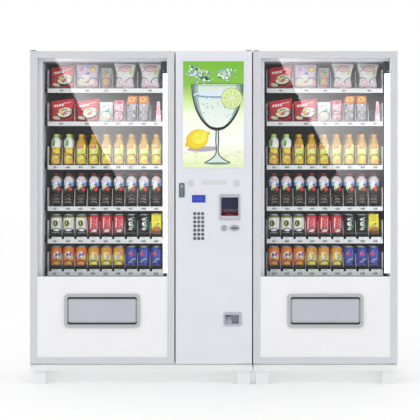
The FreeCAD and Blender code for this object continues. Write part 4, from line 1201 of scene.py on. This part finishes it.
def advert_lemon(disc):
    """A lemon on its side: a rounded body and two nibs, warm below and lighter above."""
    u, v, lean = -94, -146, 0.5
    disc(u + 34, v - 56, 92, 15, 1, "shadow", 0.04)
    for reach, wide in ((-64, 15), (64, 18)):
        disc(u + reach * math.cos(lean), v + reach * math.sin(lean), wide, 13, 2, "warm", lean)
    disc(u, v, 68, 56, 3, "warm", lean)
    disc(u + 5, v + 4, 62, 50, 4, "peel", lean)
    disc(u + 12, v + 10, 44, 34, 5, "light", lean)


def advert_glass(art, layer):
    """The bowl, its shaded sides, its outline, the stem and the foot."""
    def mirrored(points):
        return [(2 * GLASS_X - u, v) for u, v in points]

    left = curve([(GLASS_X - 149, GLASS_RIM), (GLASS_X - 142, 100), (GLASS_X - 120, 22), (GLASS_X - 84, -38),
                  (GLASS_X - 42, -76), (GLASS_X, -88)], 8)
    sides = ((left, 1), (mirrored(left), -1))
    art.patch(left + mirrored(left)[::-1][1:], layer(6), 1, 5)
    for depth, colour, step in ((40, "bowl_shade", 7), (20, "bowl_deep", 8)):
        for line, sign in sides:
            inner = [(u + sign * depth * (1 - index / len(line)), v) for index, (u, v) in enumerate(line)]
            art.stroke(line, inner, layer(step), ADVERT_MARK[colour])
    for line, sign in sides:
        rim = [(u, v, 0.25 + 1.1 * (index / len(line)) ** 1.5) for index, (u, v) in enumerate(line)]
        art.stroke(*band(rim, 15), layer(11), ADVERT_MARK["bowl_line"])
        reach = -149 * sign
        stem = curve([(GLASS_X + share * reach, v) for share, v in (
            (0.04, -90), (0.055, -150), (0.07, -236), (0.5, GLASS_FOOT + 8))], 8)
        art.stroke(*band([(u, v, 1) for u, v in stem], 6), layer(9), ADVERT_MARK["bowl_line"])
        art.stroke(stem, [(GLASS_X, v) for u, v in stem], layer(8), ADVERT_MARK["stem"])
    art.ring(oval(GLASS_X, GLASS_RIM, 149, 9, 40), oval(GLASS_X, GLASS_RIM, 146, 7, 40), layer(12),
             ADVERT_MARK["bowl_line"])
    art.patch(oval(GLASS_X, GLASS_FOOT + 6, 74, 7, 36), layer(10), ADVERT_MARK["bowl_deep"], 3)


def advert_drink(disc, draw):
    """The surface of the drink, a slice of citrus on the rim, bubbles, and drops in the air."""
    for v, wide, tall, step, colour in (
            (112, 138, 21, 9, "foam"), (108, 130, 15, 10, "wave"), (113, 112, 9, 11, "foam")):
        disc(GLASS_X, v, wide, tall, step, colour)
    slice_u, slice_v = GLASS_X + 84, 92
    for radius, step, colour in ((62, 13, "rind"), (55, 14, "glint"), (51, 15, "flesh")):
        disc(slice_u, slice_v, radius, radius, step, colour)
    for spoke in range(9):
        angle = 2 * math.pi * spoke / 9
        disc(slice_u + 26 * math.cos(angle), slice_v + 26 * math.sin(angle), 24, 1.6, 16, "glint", angle, 12)
    for _ in range(60):
        size = draw.uniform(1.6, 4.6)
        disc(GLASS_X + draw.uniform(-84, 84), draw.uniform(-20, 96), size, size, 12,
             draw.choice(("foam", "glint", "wave")), 0, 12)
    for cloud_u, cloud_v, count in ((-104, 244, 60), (-50, 214, 34), (70, 236, 60)):
        for step in range(count):
            size = draw.uniform(2.5, 9.0)
            disc(cloud_u + draw.gauss(0, 24), cloud_v + draw.gauss(0, 17), size,
                 size * draw.uniform(0.5, 0.9), 3 + step % 4,
                 draw.choice(("foam", "glint", "glint", "deep", "wave", "foam")), draw.uniform(-1.5, 1.5), 12)


# ---------------------------------------------------------------- centre door trim

SPEAKER_X, SPEAKER_Z = 133, 1167


def speakers(face):
    """Moulded discs with rings of small holes drawn as flat dark dots, painted shade for the hollows of the
    holes.
    """
    for side, x in zip(SIDES, (-SPEAKER_X, SPEAKER_X)):
        disc = Shape()
        disc.lathe_y([(0, face - 1.0), (16, face - 1.0), (18, face - 0.4), (19.5, face - 1.4),
                      (21.4, face - 1.4), (22, face - 0.6), (22, face + 0.2), (0, face + 0.2)],
                     (x, SPEAKER_Z), 40)
        where = lambda u, v: (x + u, face - 1.15, SPEAKER_Z + v)
        # Painted shade: each hole is a flat dark grey dot.
        for ring, holes in ((4, 6), (8, 12), (12, 18)):
            for hole in range(holes):
                angle = 2 * math.pi * hole / holes
                disc.patch(oval(ring * math.cos(angle), ring * math.sin(angle), 0.9, 0.9, 8), where, 1, 1)
        disc.place(f"speaker_{side}", "centre_door", "centre_white", "trim", "hole")


def centre_trim():
    """Speakers, a blank label bar, frames round the advert and the screen, and the screen's figures."""
    face = box("centre_door_panel")[0].y
    speakers(face)
    label = Shape()
    label.plate((-71, face - 1.4, 1158), (77, face + 0.2, 1183), 11, 1.0)
    label.place("label_bar", "centre_door", "centre_white", "trim")
    art = box("advert_panel")
    framed("advert_frame", "centre_door", "centre_white", "centre", art, art[0].y - 1.4, face + 0.2, (5, 5),
           3, 7, 1.0)
    low, high = box("display_screen")
    fascia = box("keypad_fascia")[0].y
    framed("screen_rim", "centre_door", "centre_white", "centre", (low, high), fascia - 1.6, fascia + 0.2,
           (4, 4), 2.5, 4.6, 0.8)
    marks = Shape()
    x, z = centre(low, high)
    where = lambda u, v: (x + u, low.y - 0.3, z + v)
    for u in (-22, -3, 12):
        draw_digit(marks, 0, where, u, 15)
    marks.patch(oval(-14.5, -7.5, 1.2, 1.2, 10), where, 0, 1)
    for v in (8, 0, -8):
        marks.patch(bar(28, v, 5, 0.7, steps=1), where, 0, 1)
    marks.place("screen_figures", "centre_door", "screen_blue", "figures")


def key_caps():
    """Numbers on the keys, and plain bars on the others."""
    for row in range(1, 8):
        for column in range(1, 4):
            key = f"key_r{row}_c{column}"
            low, high = box(key)
            x, z = centre(low, high)
            face = low.y
            cap = Shape()
            cap.lathe_y([(0, face - 0.25), (5, face - 0.25), (6, face - 0.6), (7, face - 0.45),
                         (7.4, face + 0.1), (7.4, face + 0.8), (0, face + 0.8)], (x, z), 28)
            where = lambda u, v: (x + u, face - 0.5, z + v)
            number = (row - 1) * 3 + column
            if number <= 9 or number == 11:
                draw_digit(cap, number % 11, where, 0, 6.4, 1)
            else:
                cap.patch(bar(0, 0, 1.6 + 0.5 * column, 0.8, steps=1), where, 1, 1)
                if row > 5:
                    cap.patch(bar(0, 2.2, 1.4, 0.6, steps=1), where, 1, 1)
            cap.place(f"key_cap_r{row}_c{column}", key, "key_dark", "key", "key_print")


MOUTH_Z = 1006


def acceptor_trim():
    """The note acceptor's dark window, its red lens with a lit edge, its guide lines, and a lip round it."""
    low, high = box("bill_acceptor")
    x, z = centre(low, high)
    face, foot, half = low.y + 3, z - 50, 49.5
    mouth_low, mouth_high = MOUTH_Z - 3.5, MOUTH_Z + 3.5
    window = Shape()
    window.plate((x - half, face - 0.6, foot + 37), (x + half, face + 0.6, z + 57.5), 3, 0.5)
    window.plate((x - half, face - 1.0, mouth_high + 0.4), (x + half, face + 0.6, foot + 36.4), 1.2, 0.6)
    window.plate((x - half, face - 1.6, foot), (x + half, face + 0.6, mouth_low - 0.6), 4, 1.4, 1)
    for edge in (x - 43.5, x + 43.5):
        window.plate((edge - 6, face - 0.9, mouth_low - 0.4), (edge + 6, face + 0.6, mouth_high + 0.2),
                     1.0, 0.5, 1)
    window.block((x - 36, face - 2.2, mouth_high + 0.2), (x + 36, face - 0.6, mouth_high + 1.6), 0.5, 2)
    where = lambda u, v: (x + u, face - 1.8, mouth_low - 12 + v)
    for step in range(5):
        window.patch(bar(0, -step * 3.2, 26 - 5 * step, 0.5, steps=1), where, 2, 1)
    window.place("acceptor_window", "centre_door", "acceptor_black", "window", "lens", "lens_edge", crease=12)
    framed("acceptor_lip", "centre_door", "acceptor_black", "acceptor", (low, high), low.y, low.y + 2.5,
           (-5, -5), 9, 4.6, 1.2)


def coin_trim():
    """A dished ring on the return button, and a rim round the coin slot."""
    low, high = box("coin_return_button")
    face, reach = low.y, (high.x - low.x) / 2
    ring = Shape()
    ring.lathe_y([(0, face - 0.3), (reach * 0.52, face - 0.5), (reach * 0.60, face + 0.2),
                  (reach * 0.70, face - 0.9), (reach * 0.92, face - 0.9), (reach, face), (reach, face + 1.2),
                  (0, face + 1.2)], centre(low, high), 40)
    ring.place("coin_return_ring", "coin_return", "coin_metal", "coin")
    low, high = box("coin_slot_plate")
    middle = (low + high) / 2
    framed("coin_slot_rim", "centre_door", "coin_metal", "coin", (middle, middle), low.y - 0.9, low.y + 0.6,
           (19.5, 5.4), 5.2, 2.4, 0.8)


def lock_trim():
    """A key barrel and a grip on the folding handle."""
    low, high = box("lock_handle")
    x, face = (low.x + high.x) / 2, low.y
    grip = Shape()
    grip.block((low.x + 3, face - 0.7, low.z + 3), (high.x - 3, face + 0.6, low.z + 40), 0.9)
    for step in range(5):
        z = low.z + 7 + 6 * step
        grip.block((low.x + 5, face - 1.2, z), (high.x - 5, face - 0.4, z + 2.4), 0.35, 0, 1)
    grip.lathe_y([(0, face - 1.3), (6.2, face - 1.3), (7.4, face - 0.6), (7.4, face + 0.6), (0, face + 0.6)],
                 (x, high.z - 15), 32, 1)
    grip.block((x - 0.7, face - 1.6, high.z - 18.5), (x + 0.7, face - 1.1, high.z - 11.5), 0.2, 2, 1)
    grip.place("lock_grip", "lock_handle", "lock_dark", "lock", "coin", "black")


# ---------------------------------------------------------------- doors and lamps

def door_trim():
    """Beads round each pane, seals behind each door, and a border and a lip on each delivery flap; the black
    lip is partly a rubber seal, partly painted shade for the dark gap round the flap.
    """
    for side in SIDES:
        body = f"{side}_door"
        glass = PANE[side][0].y
        framed(f"pane_bead_{side}", body, "seal_black", "bead", PANE[side], glass - 2.2, glass + 0.3, (3, 3),
               3, 6, 1.0)
        rear = DOOR[side][1].y
        framed(f"door_seal_{side}", body, "seal_black", "rubber", DOOR[side], rear - 0.4, rear + 8,
               (-12, -14), 8, 14, 3)
        flap = box(f"{side}_delivery_flap")
        face = flap[0].y
        framed(f"flap_border_{side}", f"{side}_flap", "flap_grey", "flap", flap, face - 0.9, face + 0.4,
               (-7, -5), 10, 3.2, 0.8)
        # Painted shade: the black rubber ring round the flap stands for the dark gap there, as well as being
        # a lip.
        framed(f"flap_lip_gap_shade_{side}", body, "seal_black", "rubber", flap, face - 2.8, face - 0.4, (7, 10.5),
               26, 12.4, 0.8, 8)


LAMP_WIDE = 26


def lamp_trim():
    """A driver block above each lamp, end caps, clips and a foot."""
    low, high = box("light_strips")
    front, back = low.y, high.y
    for side in SIDES:
        x0 = low.x + side_shift(side)
        x1 = x0 + LAMP_WIDE
        parts = Shape()
        parts.block((x0 - 6, front + 1, high.z + 9), (x1, back + 6, high.z + 62), 2)
        parts.block((x0 - 0.6, front - 0.8, high.z - 9), (x1 - 0.2, back + 0.4, high.z + 0.6), 1)
        parts.block((x0 - 0.6, front - 0.8, low.z - 0.6), (x1 - 0.2, back + 0.4, low.z + 5), 1, 1)
        parts.block((x0 - 2, front - 1.4, low.z - 16), (x1 - 0.2, back, low.z - 10), 1)
        for share in (0.25, 0.5, 0.75):
            z = low.z + (high.z - low.z) * share
            parts.block((x0 - 0.8, front - 1.0, z - 3), (x0 + 3, back + 0.4, z + 3), 0.6, 1)
        parts.place(f"lamp_fittings_{side}", "cabinet", "motor_black", "black", "trim")


# ---------------------------------------------------------------- stage, in metres: floor, light and camera

FRONT = FACE * MM
CASE_LIGHT = 0.95
CARD_GAP = 0.2
SHEEN_STRENGTH = 11.5
SHEEN_START = 0.105
SHEEN_SLOPE = 1.95
CAMERA_DISTANCE = 9.0
CAMERA_HEIGHT = 1.15
VIEW_WIDE = 2.436
VIEW_CENTRE_X = -0.022
VIEW_CENTRE_Z = 1.012
SENSOR = 36.0


def sheet(name, points, faces, finish):
    """A flat piece of the stage."""
    mesh = bpy.data.meshes.new(name)
    mesh.from_pydata(points, [], faces)
    mesh.materials.append(finish)
    made = bpy.data.objects.new(name, mesh)
    scene.collection.objects.link(made)
    return made


def card(name, points, faces, finish):
    """A sheet that only shows in reflections, as a flag or a soft box does in a studio."""
    made = sheet(name, points, faces, finish)
    for rays in ("camera", "diffuse", "transmission", "volume_scatter", "shadow"):
        setattr(made, "visible_" + rays, False)
    return made


def lamp(name, at, aim, size, power):
    """A rectangular lamp that is not seen itself."""
    data = bpy.data.lights.new(name, "AREA")
    data.shape = "RECTANGLE"
    data.size, data.size_y = size
    data.energy = power
    made = bpy.data.objects.new(name, data)
    made.location = at
    made.rotation_euler = (Vector(aim) - Vector(at)).to_track_quat("-Z", "Y").to_euler()
    made.visible_camera = False
    made.visible_glossy = False
    scene.collection.objects.link(made)
    return made


def make_stage():
    """A pale floor, even room light, lamps inside the cases, and the cards."""
    reach = 40.0
    pale = surface("pale_floor", (0.985, 0.985, 0.985), rough=0.8, spread=0.005, bump=0.0)
    sheet("floor", [(-reach, -reach, 0), (reach, -reach, 0), (reach, reach, 0), (-reach, reach, 0)],
          [(0, 1, 2, 3)], pale)
    world = bpy.data.worlds.new("room")
    world.use_nodes = True
    sky = world.node_tree.nodes["Background"].inputs
    sky["Color"].default_value = (1.0, 1.0, 1.0, 1)
    sky["Strength"].default_value = 1.0
    scene.world = world
    scene.view_settings.view_transform = "Standard"
    lamp("key", (-3.0, -5.0, 5.0), (0, 0, 1.0), (4.0, 3.0), 40)
    lamp("fill", (4.0, -5.0, 3.0), (0, 0, 1.0), (3.0, 3.0), 16)
    lamp("floor_glow", (0, 0, 0.055), (0, 0.00001, 0), (2.0, 0.74), 1.5)
    for side in SIDES:
        low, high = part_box(f"{side}_glass")
        middle = (low + high) / 2
        shine = lamp(f"case_light_{side}", (middle.x, high.y + 0.012, middle.z), (middle.x, 1, middle.z),
                     (high.x - low.x, high.z - low.z), CASE_LIGHT)
        shine.visible_transmission = False
    make_cards()


def make_cards():
    """A dark flag behind the camera, and before it a soft box whose edge runs down across each pane."""
    dark, tree, shader = blank("dark_flag")
    dress(tree, shader, Base_Color=(0.01, 0.01, 0.01, 1), Roughness=1.0)
    behind = FRONT - CAMERA_DISTANCE - 2 * CARD_GAP
    corners = [(-5, behind, -2), (5, behind, -2), (5, behind, 6), (-5, behind, 6)]
    card("dark_flag", corners, [(0, 1, 2, 3)], dark)

    soft, tree, shader = blank("soft_box")
    share = tree.nodes.new("ShaderNodeAttribute")
    share.attribute_name = "share"
    strength = maths(tree, "MULTIPLY", share.outputs["Fac"], SHEEN_STRENGTH)
    glow = node(tree, "Emission", Strength=strength, Color=(1.0, 0.98, 0.99, 1))
    tree.links.new(glow.outputs["Emission"], tree.nodes["Material Output"].inputs["Surface"])
    soft.cycles.emission_sampling = "NONE"
    across, down = 12, 24
    camera = Vector((0, FRONT - CAMERA_DISTANCE, CAMERA_HEIGHT))
    reach = (CAMERA_DISTANCE + CARD_GAP) / CAMERA_DISTANCE
    for side in SIDES:
        low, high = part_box(f"{side}_glass")
        points, shares = [], []
        for row in range(down + 1):
            fall = row / down
            drop = (high.z - low.z) * fall
            left = low.x + SHEEN_START + drop / SHEEN_SLOPE
            for step in range(across + 1):
                along = step / across
                glass = Vector((left + (high.x - left) * along, FRONT, high.z - drop))
                out = glass - camera
                points.append((glass.x + out.x * reach, camera.y - CARD_GAP, glass.z + out.z * reach))
                shares.append(sheen(along, fall))
        faces = [(corner, corner + 1, corner + across + 2, corner + across + 1)
                 for row in range(down) for corner in range(row * (across + 1), row * (across + 1) + across)]
        made = card(f"soft_box_{side}", points, faces, soft)
        layer = made.data.attributes.new("share", "FLOAT", "POINT")
        layer.data.foreach_set("value", shares)


def sheen(along, fall):
    """How bright the soft box is: full at its edge, weaker across it and towards the floor."""
    height = max(0.0, min(1.0, (0.68 - fall) / 0.26))
    decay = 0.8 + 1.9 * max(0.0, 1 - fall / 0.28)
    return height ** 1.4 * math.exp(-decay * along)


def make_camera():
    """A long lens, level, in front of the machine."""
    data = bpy.data.cameras.new("camera")
    data.sensor_width = SENSOR
    data.lens = SENSOR * CAMERA_DISTANCE / VIEW_WIDE
    data.shift_x = VIEW_CENTRE_X / VIEW_WIDE
    data.shift_y = (VIEW_CENTRE_Z - CAMERA_HEIGHT) / VIEW_WIDE
    data.clip_end = 100
    camera = bpy.data.objects.new("camera", data)
    camera.location = (0, FRONT - CAMERA_DISTANCE, CAMERA_HEIGHT)
    camera.rotation_euler = (math.radians(90), 0, 0)
    scene.collection.objects.link(camera)
    scene.camera = camera


# ---------------------------------------------------------------- building

dress_nodes()
fill_shelves()
wind_coils()
turning_coils()
shelf_edges()
make_advert()
centre_trim()
key_caps()
acceptor_trim()
coin_trim()
lock_trim()
door_trim()
lamp_trim()
make_stage()
make_camera()
